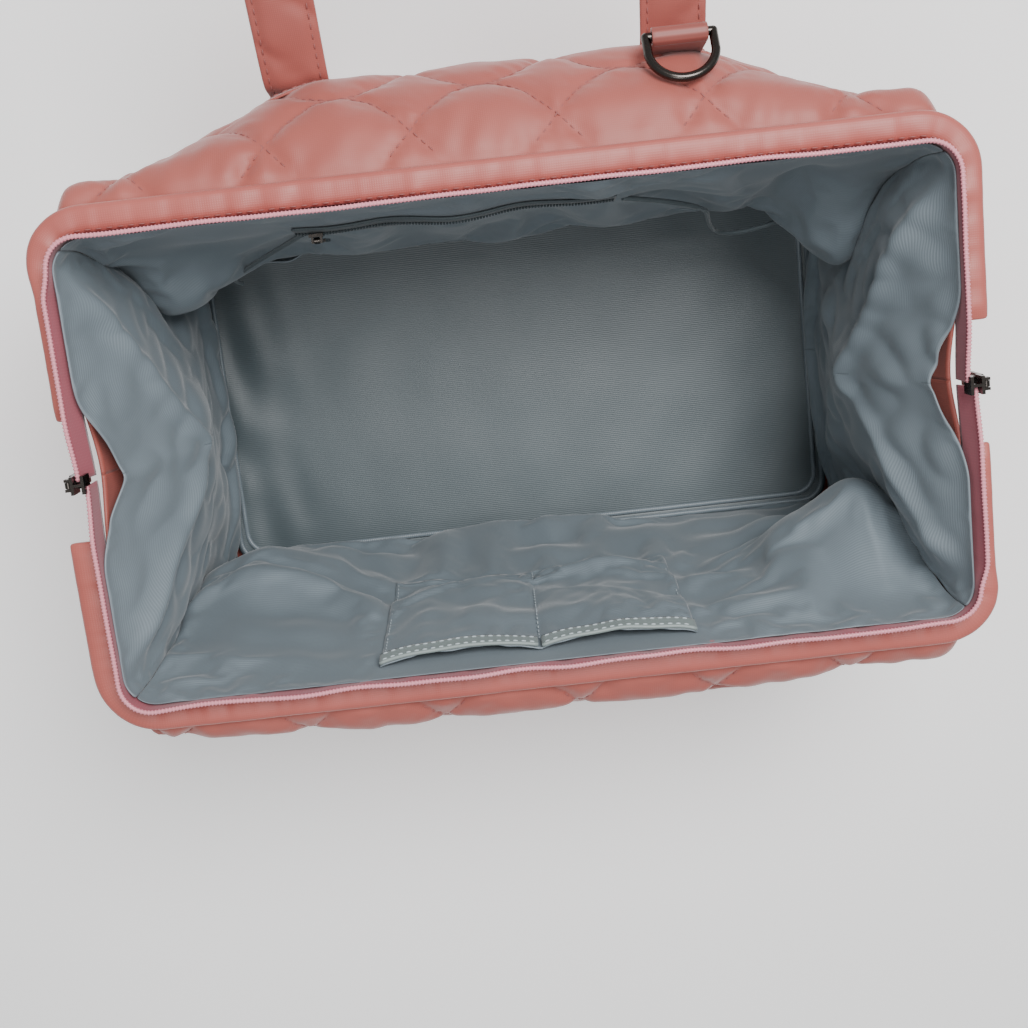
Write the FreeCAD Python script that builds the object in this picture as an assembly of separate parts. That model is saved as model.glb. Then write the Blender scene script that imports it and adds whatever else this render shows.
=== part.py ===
import FreeCAD, Part

import math
import os

from FreeCAD import Vector

# Wire-framed diaper bag standing open. Millimetres, +X along the length, +Y to the back, +Z up.
# The origin is the middle of the underside. The mouth holds two U-shaped wires, one in the back hem and one
# in the front hem; their legs point to the middle of each end. Zipping the bag shut tips both walls inward
# and folds the legs down.

# Mouth frame, measured on the centreline of the wire
MOUTH_LENGTH = 400.0
MOUTH_WIDTH = 224.0
MOUTH_HEIGHT = 250.0
FRAME_CORNER = 22.0
WIRE_DIAMETER = 4.0
LEG_REACH = 78.0
HEM_WIDTH = 14.0
HEM_THICKNESS = 7.0
SLEEVE_PLAY = 0.3
SLEEVE_END = 1.0

# Mouth zip: the tape stands up from the inner edge of the hem and carries the coil along its top
TAPE_INSET = 7.8
TAPE_THICKNESS = 1.0
TAPE_BOTTOM = 246.0
COIL_DIAMETER = 2.4
COIL_HEIGHT = 263.2
ZIP_LEG_REACH = 58.0

# Floor and body
FLOOR_LENGTH = 384.0
FLOOR_WIDTH = 208.0
FLOOR_CORNER = 16.0
BASE_PANEL_Z = (0.0, 3.0)
BASE_BOARD_Z = (3.3, 6.3)
FLOOR_LINING_Z = (6.5, 8.0)
BOARD_INSET = 7.0
FLOOR_LINING_INSET = 8.0
PIPING_DIAMETER = 4.2
WALL_BOTTOM = 8.0
WALL_TOP = 251.0
WALL_HALF_LENGTH = 188.0
PADDED_THICKNESS = 5.0
PIPING_GAP = 0.5
SEAM_GAP = 0.2
OUTER_BOTTOM_Y = 109.0
OUTER_TOP_Y = 126.0
BACK_BULGE = 38.0
FRONT_BULGE = 12.0
BULGE_FLAT_HALF = 70.0
LINING_FACE_Y = 98.0
LINING_THICKNESS = 1.5
LINING_HALF_LENGTH = 185.0
LINING_BOTTOM = 14.0
LINING_TOP = 244.0

# End gussets, folded inward to one apex on each side
GUSSET_X = 190.0
GUSSET_HALF_WIDTH = 92.0
GUSSET_BOTTOM = 12.0
GUSSET_TOP = 238.0
GUSSET_TOP_HALF_WIDTH = 96.0
APEX_DEPTH = 27.0
APEX_HEIGHT = 165.0
GUSSET_THICKNESS = 2.0
GUSSET_LINING_OFFSET = 4.0
GUSSET_FOLD_RISE = 1.6

# Handles and shoulder-strap rings
STRAP_X = 86.0
STRAP_WIDTH = 30.0
STRAP_THICKNESS = 6.0
STRAP_STRAIGHT = 95.0
HANDLE_HEIGHT = 200.0
HANDLE_STAND_OFF = 8.5
BACK_HANDLE_ELEVATION = 30.0
FRONT_HANDLE_ELEVATION = -80.0
PATCH_THICKNESS = 2.8
PATCH_LENGTH = 42.0
PATCH_ABOVE_AXIS = 4.0
PATCH_MARGIN = 2.0
PATCH_GAP = 1.3
RING_INSIDE = 25.0
RING_WIRE = 4.0
RING_DROP = 20.0
RING_STRAIGHT = 9.1
WEBBING_WIDTH = 24.0
WEBBING_THICKNESS = 1.6
WEBBING_PLAY = 0.3
BACK_RING_X = 84.0
BACK_RING_Y = 161.0
BACK_RING_Z = 232.0
BACK_RING_ELEVATION = 30.0
BACK_TAB_LENGTH = 20.0
BACK_TAB_SLOPE = -96.0
FRONT_RING_X = -128.0
FRONT_RING_Z = 200.0
FRONT_RING_CLEAR = 5.0
FRONT_RING_ELEVATION = -86.0
FRONT_TAB_LENGTH = 14.0
FRONT_TAB_SLOPE = 92.0

# Zip slider of the mouth
SLIDER_LENGTH = 9.0
SLIDER_WIDTH = 8.0
SLIDER_PLATE = 1.4
SLIDER_CHANNEL = 3.4
SLIDER_POST = 1.2
SLIDER_REST_X = 195.0
SLIDER_REST_Z = 258.0
PULLER_LENGTH = 30.0
PULLER_WIDTH = 7.0
PULLER_THICKNESS = 1.6
PULLER_PIN = 1.6
SLIDER_CHEEK_Y = 2.2
SLIDER_CHEEK_THICKNESS = 1.2
SLIDER_CHEEK_REACH = 3.2
SLIDER_CHEEK_HEIGHT = 3.6
PIN_STAND_OFF = 1.9
PIN_PLAY = 0.25
PULLER_EYE_WALL = 0.55
PULLER_NECK_HALF = 1.3
PULLER_NECK_LENGTH = 6.0
PULLER_SLOT_HALF = 1.4
PULLER_SLOT_Z = (-26.0, -10.0)
ZIP_STOP_HALF = (1.6, 2.8, 2.5)
ZIP_STOP_OUT = 1.2
ZIP_STOP_Z = 249.0

# Pockets and small inner parts
FRONT_POCKET_LEFT = -78.0
FRONT_POCKET_SPLIT = -4.0
FRONT_POCKET_RIGHT = 68.0
FRONT_POCKET_BOTTOM = 120.0
FRONT_POCKET_TOP = 238.0
POCKET_DEPTH = 8.0
POCKET_WALL = 1.2
BINDING_WIDTH = 9.0
BINDING_THICKNESS = 1.2
BACK_POCKET_TOP = 110.0
BACK_POCKET_BOTTOM = 20.0
BACK_POCKET_DEPTH = 14.0
BACK_POCKET_RIGHT_SPAN = (52.0, 148.0)
BACK_POCKET_LEFT_SPAN = (-148.0, -96.0)
ELASTIC_DIAMETER = 2.4
ELASTIC_RIGHT_ROUTE = (
    (56, 96, 205),
    (98, 90, 178),
    (104, 80, 140),
    (112, 74, 118),
    (132, 74, 113),
    (146, 78, 120),
)
ELASTIC_LEFT_ROUTE = (
    (-92, 96, 200),
    (-112, 90, 165),
    (-136, 82, 128),
    (-144, 78, 114),
    (-140, 76, 106),
)
INNER_ZIP_LEFT = -94.0
INNER_ZIP_RIGHT = 52.0
INNER_ZIP_Z = 214.0
INNER_TAPE_HEIGHT = 15.0
INNER_SLIDER_X = -84.0
INNER_TAPE_THICKNESS = 1.0
INNER_COIL_THICKNESS = 1.2
INNER_COIL_HALF = 2.0
INNER_SLIDER_GAP = 0.4
INNER_SLIDER_HALF = (4.0, 3.2)
INNER_SLIDER_PLATE = 1.4
INNER_CHEEK_X = 2.0
INNER_CHEEK_THICKNESS = 1.0
INNER_CHEEK_HALF = 1.4
INNER_CHEEK_REACH = 2.8
INNER_PIN_STAND_OFF = 3.0
INNER_PIN_RADIUS = 0.7
INNER_EYE_RADIUS = 1.5
INNER_EYE_BORE = 0.95
INNER_NECK_HALF = 1.2
INNER_NECK_LENGTH = 7.0
INNER_BLADE_HALF = 3.0
INNER_BLADE_THICKNESS = 1.4
INNER_PULLER_LENGTH = 26.0

BACK = 1
FRONT = -1
LEFT = -1
RIGHT = 1


def save(shape, name):
    if not shape.isValid():
        print("check", name)
    shape.exportStep("parts/%s.step" % name)


def box(x0, x1, y0, y1, z0, z1):
    return Part.makeBox(x1 - x0, y1 - y0, z1 - z0, Vector(x0, y0, z0))


def side_box(side, x0, x1, y0, y1, z0, z1):
    """Box given by its distances from the middle plane, on the back or the front side."""
    if side == BACK:
        return box(x0, x1, y0, y1, z0, z1)
    return box(x0, x1, -y1, -y0, z0, z1)


def rounded_slab(length, width, radius, z0, z1):
    slab = box(-length / 2, length / 2, -width / 2, width / 2, z0, z1)
    upright = [e for e in slab.Edges if abs(e.tangentAt(e.FirstParameter).z) > 0.9]
    return slab.makeFillet(radius, upright)


def prism(points, direction):
    loop = Part.makePolygon(points + points[:1])
    return Part.Face(loop).extrude(direction)


def u_path(inset, leg_reach, z, side):
    """Centreline of a U that runs round one half of the mouth, inset from the wire."""
    hx = MOUTH_LENGTH / 2 - inset
    hy = MOUTH_WIDTH / 2 - inset
    r = FRAME_CORNER - inset
    tip = MOUTH_WIDTH / 2 - leg_reach
    k = r * (1 - math.sqrt(0.5))
    s = side

    def at(x, y):
        return Vector(x, s * y, z)

    edges = [
        Part.LineSegment(at(-hx, tip), at(-hx, hy - r)).toShape(),
        Part.Arc(at(-hx, hy - r), at(-hx + k, hy - k), at(-hx + r, hy)).toShape(),
        Part.LineSegment(at(-hx + r, hy), at(hx - r, hy)).toShape(),
        Part.Arc(at(hx - r, hy), at(hx - k, hy - k), at(hx, hy - r)).toShape(),
        Part.LineSegment(at(hx, hy - r), at(hx, tip)).toShape(),
    ]
    return Part.Wire(edges)


def sweep(path, profile):
    return path.makePipeShell([profile], True, True)


def disc_at_start(path, diameter):
    start = path.Edges[0].valueAt(path.Edges[0].FirstParameter)
    along = path.Edges[0].tangentAt(path.Edges[0].FirstParameter)
    return Part.Wire(Part.makeCircle(diameter / 2, start, along))


def oblong_at_start(path, width, height):
    """Flat oval across the path's first point, width in X and height in Z."""
    p = path.Edges[0].valueAt(path.Edges[0].FirstParameter)
    r = height / 2
    w = width / 2 - r

    def at(x, z):
        return p + Vector(x, 0, z)

    edges = [
        Part.LineSegment(at(-w, r), at(w, r)).toShape(),
        Part.Arc(at(w, r), at(w + r, 0), at(w, -r)).toShape(),
        Part.LineSegment(at(w, -r), at(-w, -r)).toShape(),
        Part.Arc(at(-w, -r), at(-w - r, 0), at(-w, r)).toShape(),
    ]
    return Part.Wire(edges)


# ---- the two wires, their hems and the zip halves ----


def make_wire(side):
    path = u_path(0, LEG_REACH - 2 * SLEEVE_END, MOUTH_HEIGHT, side)
    return sweep(path, disc_at_start(path, WIRE_DIAMETER))


def make_hem(side):
    path = u_path(0, LEG_REACH, MOUTH_HEIGHT, side)
    sleeve = sweep(path, oblong_at_start(path, HEM_WIDTH, HEM_THICKNESS))
    bore_path = u_path(0, LEG_REACH - SLEEVE_END, MOUTH_HEIGHT, side)
    bore = sweep(bore_path, disc_at_start(bore_path, WIRE_DIAMETER + 2 * SLEEVE_PLAY))
    return sleeve.cut(bore)


def make_tape(side):
    height = COIL_HEIGHT - COIL_DIAMETER / 2 - TAPE_BOTTOM
    path = u_path(TAPE_INSET, ZIP_LEG_REACH - TAPE_INSET, TAPE_BOTTOM + height / 2, side)
    start = path.Edges[0].valueAt(path.Edges[0].FirstParameter)
    t = TAPE_THICKNESS / 2
    h = height / 2
    corners = [Vector(-t, 0, -h), Vector(t, 0, -h), Vector(t, 0, h), Vector(-t, 0, h), Vector(-t, 0, -h)]
    loop = Part.makePolygon([start + c for c in corners])
    return sweep(path, loop)


def make_coil(side):
    path = u_path(TAPE_INSET, ZIP_LEG_REACH - TAPE_INSET, COIL_HEIGHT, side)
    return sweep(path, disc_at_start(path, COIL_DIAMETER))


# ---- the quilted walls ----


def smooth(t):
    t = min(1.0, max(0.0, t))
    return t * t * (3 - 2 * t)


def wall_y(x, z, bulge):
    """Distance of the quilted outer face from the middle plane."""
    s = (z - WALL_BOTTOM) / (WALL_TOP - WALL_BOTTOM)
    lean = OUTER_BOTTOM_Y + (OUTER_TOP_Y - OUTER_BOTTOM_Y) * s
    swell = math.sin(math.pi * s**2.6)
    taper = 1 - smooth((abs(x) - BULGE_FLAT_HALF) / (WALL_HALF_LENGTH - BULGE_FLAT_HALF))
    return lean + bulge * swell * taper


def wall_sheet(x0, x1, z0, z1, inner, outer, bulge, inner_bulge, side):
    """Sheet between two offsets from the quilted face, each with its own bulge."""
    stations = 9
    rows = 9
    loops = []
    for i in range(stations):
        x = x0 + (x1 - x0) * i / (stations - 1)
        zs = [z0 + (z1 - z0) * j / (rows - 1) for j in range(rows)]
        far = [Vector(x, side * (wall_y(x, z, bulge) + outer), z) for z in zs]
        near = [Vector(x, side * (wall_y(x, z, inner_bulge) + inner), z) for z in zs]
        curves = []
        for points in (far, near[::-1]):
            curve = Part.BSplineCurve()
            curve.interpolate(points)
            curves.append(curve.toShape())
        ends = [
            Part.LineSegment(far[-1], near[-1]).toShape(),
            Part.LineSegment(near[0], far[0]).toShape(),
        ]
        loops.append(Part.Wire([curves[0], ends[0], curves[1], ends[1]]))
    return Part.makeLoft(loops, True, False)


def make_outer_wall(side, bulge):
    """Quilted wall with a flat inner face: the slack and wadding fill its bulge."""
    x = WALL_HALF_LENGTH
    return wall_sheet(-x, x, WALL_BOTTOM, WALL_TOP, -PADDED_THICKNESS, 0, bulge, 0, side)


def make_lining_wall(side):
    y = LINING_FACE_Y
    x = LINING_HALF_LENGTH
    return side_box(side, -x, x, y, y + LINING_THICKNESS, LINING_BOTTOM, LINING_TOP)


# ---- the end gussets ----


def gusset_corners(end, offset):
    """Floor corners, top corners, apex and top middle of one end, moved inward by the offset."""
    x = end * (GUSSET_X - offset)
    apex_x = end * (GUSSET_X - offset - APEX_DEPTH)
    lower = [Vector(x, -GUSSET_HALF_WIDTH, GUSSET_BOTTOM), Vector(x, GUSSET_HALF_WIDTH, GUSSET_BOTTOM)]
    upper = [Vector(x, -GUSSET_TOP_HALF_WIDTH, GUSSET_TOP), Vector(x, GUSSET_TOP_HALF_WIDTH, GUSSET_TOP)]
    return lower, upper, Vector(apex_x, 0, APEX_HEIGHT)


def facet(points, end):
    return prism(points, Vector(end * GUSSET_THICKNESS, 0, 0))


def make_outer_end(end):
    lower, upper, apex = gusset_corners(end, 0)
    shape = facet([lower[0], lower[1], apex], end)
    shape = shape.fuse(facet([lower[0], upper[0], apex], end))
    shape = shape.fuse(facet([lower[1], upper[1], apex], end))
    shape = shape.fuse(facet([upper[0], upper[1], apex], end))
    return shape.removeSplitter()


def make_lining_end(end):
    lower, _, apex = gusset_corners(end, GUSSET_LINING_OFFSET)
    return facet([lower[0], lower[1], apex], end)


def make_lining_fold(end):
    lower, upper, apex = gusset_corners(end, GUSSET_LINING_OFFSET)
    rise = Vector(0, 0, GUSSET_FOLD_RISE)
    tip = apex + rise
    shape = facet([lower[0] + rise, upper[0], tip], end)
    shape = shape.fuse(facet([lower[1] + rise, upper[1], tip], end))
    shape = shape.fuse(facet([upper[0], upper[1], tip], end))
    return shape.removeSplitter()


# ---- floor ----


def make_floor_layer(inset, heights):
    length = FLOOR_LENGTH - 2 * inset
    width = FLOOR_WIDTH - 2 * inset
    return rounded_slab(length, width, FLOOR_CORNER - inset / 2, *heights)


def make_piping():
    """Cord that edges the underside, one ring round the floor panel."""
    out = PIPING_DIAMETER / 2 + PIPING_GAP
    ring = rounded_slab(FLOOR_LENGTH + 2 * out, FLOOR_WIDTH + 2 * out, FLOOR_CORNER, 0, 1)
    foot = [f for f in ring.Faces if abs(f.CenterOfMass.z) < 0.01][0]
    path = Part.Wire(Part.sortEdges(foot.OuterWire.Edges)[0])
    path.translate(Vector(0, 0, PIPING_DIAMETER / 2 + SEAM_GAP))
    return sweep(path, disc_at_start(path, PIPING_DIAMETER))


# ---- handles ----


def strap_outline(half_width):
    points = [
        Part.LineSegment(Vector(-half_width, 0, 0), Vector(-half_width, STRAP_STRAIGHT, 0)).toShape(),
        Part.Arc(
            Vector(-half_width, STRAP_STRAIGHT, 0),
            Vector(0, STRAP_STRAIGHT + half_width, 0),
            Vector(half_width, STRAP_STRAIGHT, 0),
        ).toShape(),
        Part.LineSegment(Vector(half_width, STRAP_STRAIGHT, 0), Vector(half_width, 0, 0)).toShape(),
    ]
    closing = Part.LineSegment(Vector(half_width, 0, 0), Vector(-half_width, 0, 0)).toShape()
    return Part.Face(Part.Wire(points + [closing]))


def make_handle(side, bulge, elevation):
    """Padded strap laid out flat from its two lower ends, then raised to its rest angle."""
    outer = strap_outline(STRAP_X + STRAP_WIDTH / 2)
    inner = strap_outline(STRAP_X - STRAP_WIDTH / 2)
    flat = outer.cut(inner).extrude(Vector(0, 0, STRAP_THICKNESS))
    flat.translate(Vector(0, 0, -STRAP_THICKNESS / 2))
    for sx in (LEFT, RIGHT):
        roll = Part.makeCylinder(
            STRAP_THICKNESS / 2, STRAP_WIDTH, Vector(sx * STRAP_X - STRAP_WIDTH / 2, 0, 0), Vector(1, 0, 0)
        )
        flat = flat.fuse(roll)
    flat.rotate(Vector(0, 0, 0), Vector(1, 0, 0), elevation)
    if side == FRONT:
        flat = flat.mirror(Vector(0, 0, 0), Vector(0, 1, 0))
    flat.translate(Vector(0, side * handle_axis_y(bulge), HANDLE_HEIGHT))
    return flat.removeSplitter()


def handle_axis_y(bulge):
    return wall_y(STRAP_X, HANDLE_HEIGHT, bulge) + HANDLE_STAND_OFF


def make_patches(side, bulge):
    patches = []
    for sx in (LEFT, RIGHT):
        x0 = sx * STRAP_X - STRAP_WIDTH / 2 - PATCH_MARGIN
        x1 = sx * STRAP_X + STRAP_WIDTH / 2 + PATCH_MARGIN
        z1 = HANDLE_HEIGHT + PATCH_ABOVE_AXIS
        z0 = z1 - PATCH_LENGTH
        patches.append(wall_sheet(x0, x1, z0, z1, PATCH_GAP, PATCH_THICKNESS, bulge, bulge, side))
    return Part.makeCompound(patches)


# ---- shoulder-strap rings ----


def make_ring():
    """D ring with its straight bar on the X axis and its bow towards +Y."""
    half = RING_INSIDE / 2 + RING_WIRE / 2
    straight = RING_STRAIGHT
    path = Part.Wire([
        Part.LineSegment(Vector(-half, 0, 0), Vector(-half, straight, 0)).toShape(),
        Part.Arc(
            Vector(-half, straight, 0),
            Vector(0, RING_DROP + RING_WIRE / 2, 0),
            Vector(half, straight, 0),
        ).toShape(),
        Part.LineSegment(Vector(half, straight, 0), Vector(half, 0, 0)).toShape(),
    ])
    bow = sweep(path, disc_at_start(path, RING_WIRE))
    bar = Part.makeCylinder(RING_WIRE / 2, 2 * half, Vector(-half, 0, 0), Vector(1, 0, 0))
    ring = bow.fuse(bar)
    for x in (-half, half):
        ring = ring.fuse(Part.makeSphere(RING_WIRE / 2, Vector(x, 0, 0)))
    return ring


def make_tab(length, slope, wall_side):
    """Webbing loop round the ring's bar, its doubled tail turned by the slope on the wall side."""
    reach = RING_WIRE / 2 + WEBBING_PLAY
    half = WEBBING_WIDTH / 2
    middle = wall_side * reach
    eye = Part.makeCylinder(reach + WEBBING_THICKNESS, WEBBING_WIDTH, Vector(-half, 0, 0), Vector(1, 0, 0))
    tail = box(-half, half, 0, length, middle - WEBBING_THICKNESS, middle + WEBBING_THICKNESS)
    loop = eye.fuse(tail)
    loop = loop.cut(Part.makeCylinder(reach, 4 * half, Vector(-2 * half, 0, 0), Vector(1, 0, 0)))
    loop.rotate(Vector(0, 0, 0), Vector(1, 0, 0), slope)
    return loop


def place_ring_parts():
    back_ring = make_ring()
    back_ring.rotate(Vector(0, 0, 0), Vector(1, 0, 0), 180 - BACK_RING_ELEVATION)
    back_ring.translate(Vector(BACK_RING_X, BACK_RING_Y, BACK_RING_Z))
    back_tab = make_tab(BACK_TAB_LENGTH, BACK_TAB_SLOPE, -1)
    back_tab.translate(Vector(BACK_RING_X, BACK_RING_Y, BACK_RING_Z))

    y = -(wall_y(FRONT_RING_X, FRONT_RING_Z, FRONT_BULGE) + FRONT_RING_CLEAR)
    front_ring = make_ring()
    front_ring.rotate(Vector(0, 0, 0), Vector(1, 0, 0), 180 - FRONT_RING_ELEVATION)
    front_ring.translate(Vector(FRONT_RING_X, y, FRONT_RING_Z))
    front_tab = make_tab(FRONT_TAB_LENGTH, FRONT_TAB_SLOPE, -1)
    front_tab.translate(Vector(FRONT_RING_X, y, FRONT_RING_Z))
    return back_ring, back_tab, front_ring, front_tab


# ---- mouth zip sliders ----


def make_slider(end):
    """Slider standing on end at the low end of the zip: plates upright, pull bail on the outer plate."""
    half = SLIDER_LENGTH / 2
    wide = SLIDER_WIDTH / 2
    gap = SLIDER_CHANNEL / 2
    body = box(-gap - SLIDER_PLATE, -gap, -wide, wide, -half, half)
    body = body.fuse(box(gap, gap + SLIDER_PLATE, -wide, wide, -half, half))
    body = body.fuse(box(-gap, gap, -SLIDER_POST / 2, SLIDER_POST / 2, 0, half))
    face = gap + SLIDER_PLATE
    t = SLIDER_CHEEK_THICKNESS / 2
    h = SLIDER_CHEEK_HEIGHT / 2
    for y in (-SLIDER_CHEEK_Y, SLIDER_CHEEK_Y):
        body = body.fuse(box(face, face + SLIDER_CHEEK_REACH, y - t, y + t, -h, h))
    start = pin_centre() - Vector(0, SLIDER_CHEEK_Y, 0)
    pin = Part.makeCylinder(PULLER_PIN / 2, 2 * SLIDER_CHEEK_Y, start, Vector(0, 1, 0))
    body = body.fuse(pin)
    return place_on_zip_end(body, end)


def pin_centre():
    return Vector(SLIDER_CHANNEL / 2 + SLIDER_PLATE + PIN_STAND_OFF, 0, 0)


def make_puller(end):
    """Flat pull with an eye round the slider's pin, hanging straight down."""
    bore_radius = PULLER_PIN / 2 + PIN_PLAY
    neck = PULLER_NECK_HALF
    thick = PULLER_THICKNESS
    half = PULLER_WIDTH / 2
    slot_low, slot_high = PULLER_SLOT_Z
    c = pin_centre()
    eye = Part.makeCylinder(bore_radius + PULLER_EYE_WALL, 2 * neck, c - Vector(0, neck, 0), Vector(0, 1, 0))
    x = c.x - thick / 2
    stem = box(x, x + thick, -neck, neck, -PULLER_NECK_LENGTH, 0)
    blade = box(x, x + thick, -half, half, -PULLER_LENGTH, 1 - PULLER_NECK_LENGTH)
    slot = box(x - thick, x + 2 * thick, -PULLER_SLOT_HALF, PULLER_SLOT_HALF, slot_low, slot_high)
    puller = eye.fuse(stem).fuse(blade.cut(slot))
    bore = Part.makeCylinder(bore_radius, 4 * neck, c - Vector(0, 2 * neck, 0), Vector(0, 1, 0))
    return place_on_zip_end(puller.cut(bore), end)


def place_on_zip_end(shape, end):
    if end == LEFT:
        shape = shape.mirror(Vector(0, 0, 0), Vector(1, 0, 0))
    shape.translate(Vector(end * SLIDER_REST_X, 0, SLIDER_REST_Z))
    return shape


def make_zip_stop(end):
    """Small metal clip that ends the zip below the slider."""
    x, y, z = ZIP_STOP_HALF
    clip = box(-x, x, -y, y, -z, z)
    clip.translate(Vector(end * (SLIDER_REST_X + ZIP_STOP_OUT), 0, ZIP_STOP_Z))
    return clip


# ---- pockets, inner zip and elastic ----


def make_front_pocket():
    """Double slip pocket: one sheet stood off the lining, closed at the sides, the bottom and the divider."""
    back_y = LINING_FACE_Y - SEAM_GAP
    face_y = back_y - POCKET_DEPTH
    t = POCKET_WALL
    shape = side_box(
        FRONT, FRONT_POCKET_LEFT, FRONT_POCKET_RIGHT, face_y, back_y, FRONT_POCKET_BOTTOM, FRONT_POCKET_TOP
    )
    bays = ((FRONT_POCKET_LEFT, FRONT_POCKET_SPLIT), (FRONT_POCKET_SPLIT, FRONT_POCKET_RIGHT))
    for x0, x1 in bays:
        bay = side_box(
            FRONT, x0 + t, x1 - t, face_y + t, back_y - t, FRONT_POCKET_BOTTOM + t, FRONT_POCKET_TOP + 1
        )
        shape = shape.cut(bay)
    return shape


def make_front_bindings():
    """Webbing sewn over the top edge of each pocket."""
    y1 = LINING_FACE_Y - POCKET_DEPTH - 2 * SEAM_GAP
    y0 = y1 - BINDING_THICKNESS
    z0 = FRONT_POCKET_TOP - BINDING_WIDTH
    left = side_box(FRONT, FRONT_POCKET_LEFT, FRONT_POCKET_SPLIT - 1, y0, y1, z0, FRONT_POCKET_TOP)
    right = side_box(FRONT, FRONT_POCKET_SPLIT + 1, FRONT_POCKET_RIGHT, y0, y1, z0, FRONT_POCKET_TOP)
    return Part.makeCompound([left, right])


def make_back_pocket(x0, x1):
    back_y = LINING_FACE_Y - SEAM_GAP
    face_y = back_y - BACK_POCKET_DEPTH
    t = POCKET_WALL
    shape = box(x0, x1, face_y, back_y, BACK_POCKET_BOTTOM, BACK_POCKET_TOP)
    return shape.cut(box(x0 + t, x1 - t, face_y + t, back_y - t, BACK_POCKET_BOTTOM + t, BACK_POCKET_TOP + 1))


def make_elastic(route):
    """Elastic edge of a slack pocket, gathered to a round cord."""
    curve = Part.BSplineCurve()
    curve.interpolate([Vector(*p) for p in route])
    path = Part.Wire([curve.toShape()])
    return sweep(path, disc_at_start(path, ELASTIC_DIAMETER))


def make_inner_tape():
    y = LINING_FACE_Y - SEAM_GAP
    face = y - INNER_TAPE_THICKNESS
    half = INNER_TAPE_HEIGHT / 2
    coil_z = INNER_COIL_HALF
    z = INNER_ZIP_Z
    tape = box(INNER_ZIP_LEFT, INNER_ZIP_RIGHT, face, y, z - half, z + half)
    coil = box(INNER_ZIP_LEFT, INNER_ZIP_RIGHT, face - INNER_COIL_THICKNESS, face, z - coil_z, z + coil_z)
    return tape.fuse(coil)


def inner_slider_face():
    return LINING_FACE_Y - SEAM_GAP - INNER_TAPE_THICKNESS - INNER_COIL_THICKNESS - INNER_SLIDER_GAP


def make_inner_slider():
    """Slider lying on the coil, with two cheeks and a level pin for its pull."""
    y = inner_slider_face()
    half_x, half_z = INNER_SLIDER_HALF
    plate = y - INNER_SLIDER_PLATE
    t = INNER_CHEEK_THICKNESS / 2
    body = box(-half_z, half_z, plate, y, -half_x, half_x)
    for x in (-INNER_CHEEK_X, INNER_CHEEK_X):
        cheek = box(x - t, x + t, plate - INNER_CHEEK_REACH, plate, -INNER_CHEEK_HALF, INNER_CHEEK_HALF)
        body = body.fuse(cheek)
    start = Vector(-INNER_CHEEK_X, y - INNER_PIN_STAND_OFF, 0)
    body = body.fuse(Part.makeCylinder(INNER_PIN_RADIUS, 2 * INNER_CHEEK_X, start, Vector(1, 0, 0)))
    body.translate(Vector(INNER_SLIDER_X, 0, INNER_ZIP_Z))
    return body


def make_inner_puller():
    y = inner_slider_face() - INNER_PIN_STAND_OFF
    n = INNER_NECK_HALF
    t = INNER_BLADE_THICKNESS / 2
    w = INNER_BLADE_HALF
    eye = Part.makeCylinder(INNER_EYE_RADIUS, 2 * n, Vector(-n, y, 0), Vector(1, 0, 0))
    neck = box(-n, n, y - t, y + t, -INNER_NECK_LENGTH, 0)
    blade = box(-w, w, y - t, y + t, -INNER_PULLER_LENGTH, 1 - INNER_NECK_LENGTH)
    bore = Part.makeCylinder(INNER_EYE_BORE, 4 * n, Vector(-2 * n, y, 0), Vector(1, 0, 0))
    puller = eye.fuse(neck).fuse(blade).cut(bore)
    puller.translate(Vector(INNER_SLIDER_X, 0, INNER_ZIP_Z))
    return puller


def main():
    os.makedirs("parts", exist_ok=True)

    save(make_floor_layer(0, BASE_PANEL_Z), "base_panel")
    save(make_floor_layer(BOARD_INSET, BASE_BOARD_Z), "base_board")
    save(make_floor_layer(FLOOR_LINING_INSET, FLOOR_LINING_Z), "lining_floor")
    save(make_piping(), "base_piping")

    for end, word in ((LEFT, "left"), (RIGHT, "right")):
        save(make_outer_end(end), "outer_end_" + word)
        save(make_lining_end(end), "lining_end_" + word)
        save(make_lining_fold(end), "lining_fold_" + word)
        save(make_slider(end), "slider_" + word)
        save(make_puller(end), "puller_" + word)
        save(make_zip_stop(end), "zip_stop_" + word)

    for side, word, bulge, elevation in (
        (BACK, "back", BACK_BULGE, BACK_HANDLE_ELEVATION),
        (FRONT, "front", FRONT_BULGE, FRONT_HANDLE_ELEVATION),
    ):
        save(make_outer_wall(side, bulge), "outer_" + word)
        save(make_lining_wall(side), "lining_" + word)
        save(make_wire(side), "frame_wire_" + word)
        save(make_hem(side), "hem_" + word)
        save(make_tape(side), "zip_tape_" + word)
        save(make_coil(side), "zip_coil_" + word)
        save(make_handle(side, bulge, elevation), "handle_" + word)
        save(make_patches(side, bulge), "handle_patches_" + word)

    back_ring, back_tab, front_ring, front_tab = place_ring_parts()
    save(back_ring, "d_ring_back")
    save(back_tab, "ring_tab_back")
    save(front_ring, "d_ring_front")
    save(front_tab, "ring_tab_front")

    save(make_front_pocket(), "pocket_front")
    save(make_front_bindings(), "pocket_bindings_front")
    save(make_back_pocket(*BACK_POCKET_RIGHT_SPAN), "pocket_back_right")
    save(make_back_pocket(*BACK_POCKET_LEFT_SPAN), "pocket_back_left")
    save(make_elastic(ELASTIC_RIGHT_ROUTE), "elastic_right")
    save(make_elastic(ELASTIC_LEFT_ROUTE), "elastic_left")
    save(make_inner_tape(), "inner_zip_tape")
    save(make_inner_slider(), "inner_zip_slider")
    save(make_inner_puller(), "inner_zip_puller")


main()
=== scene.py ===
import math

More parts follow.
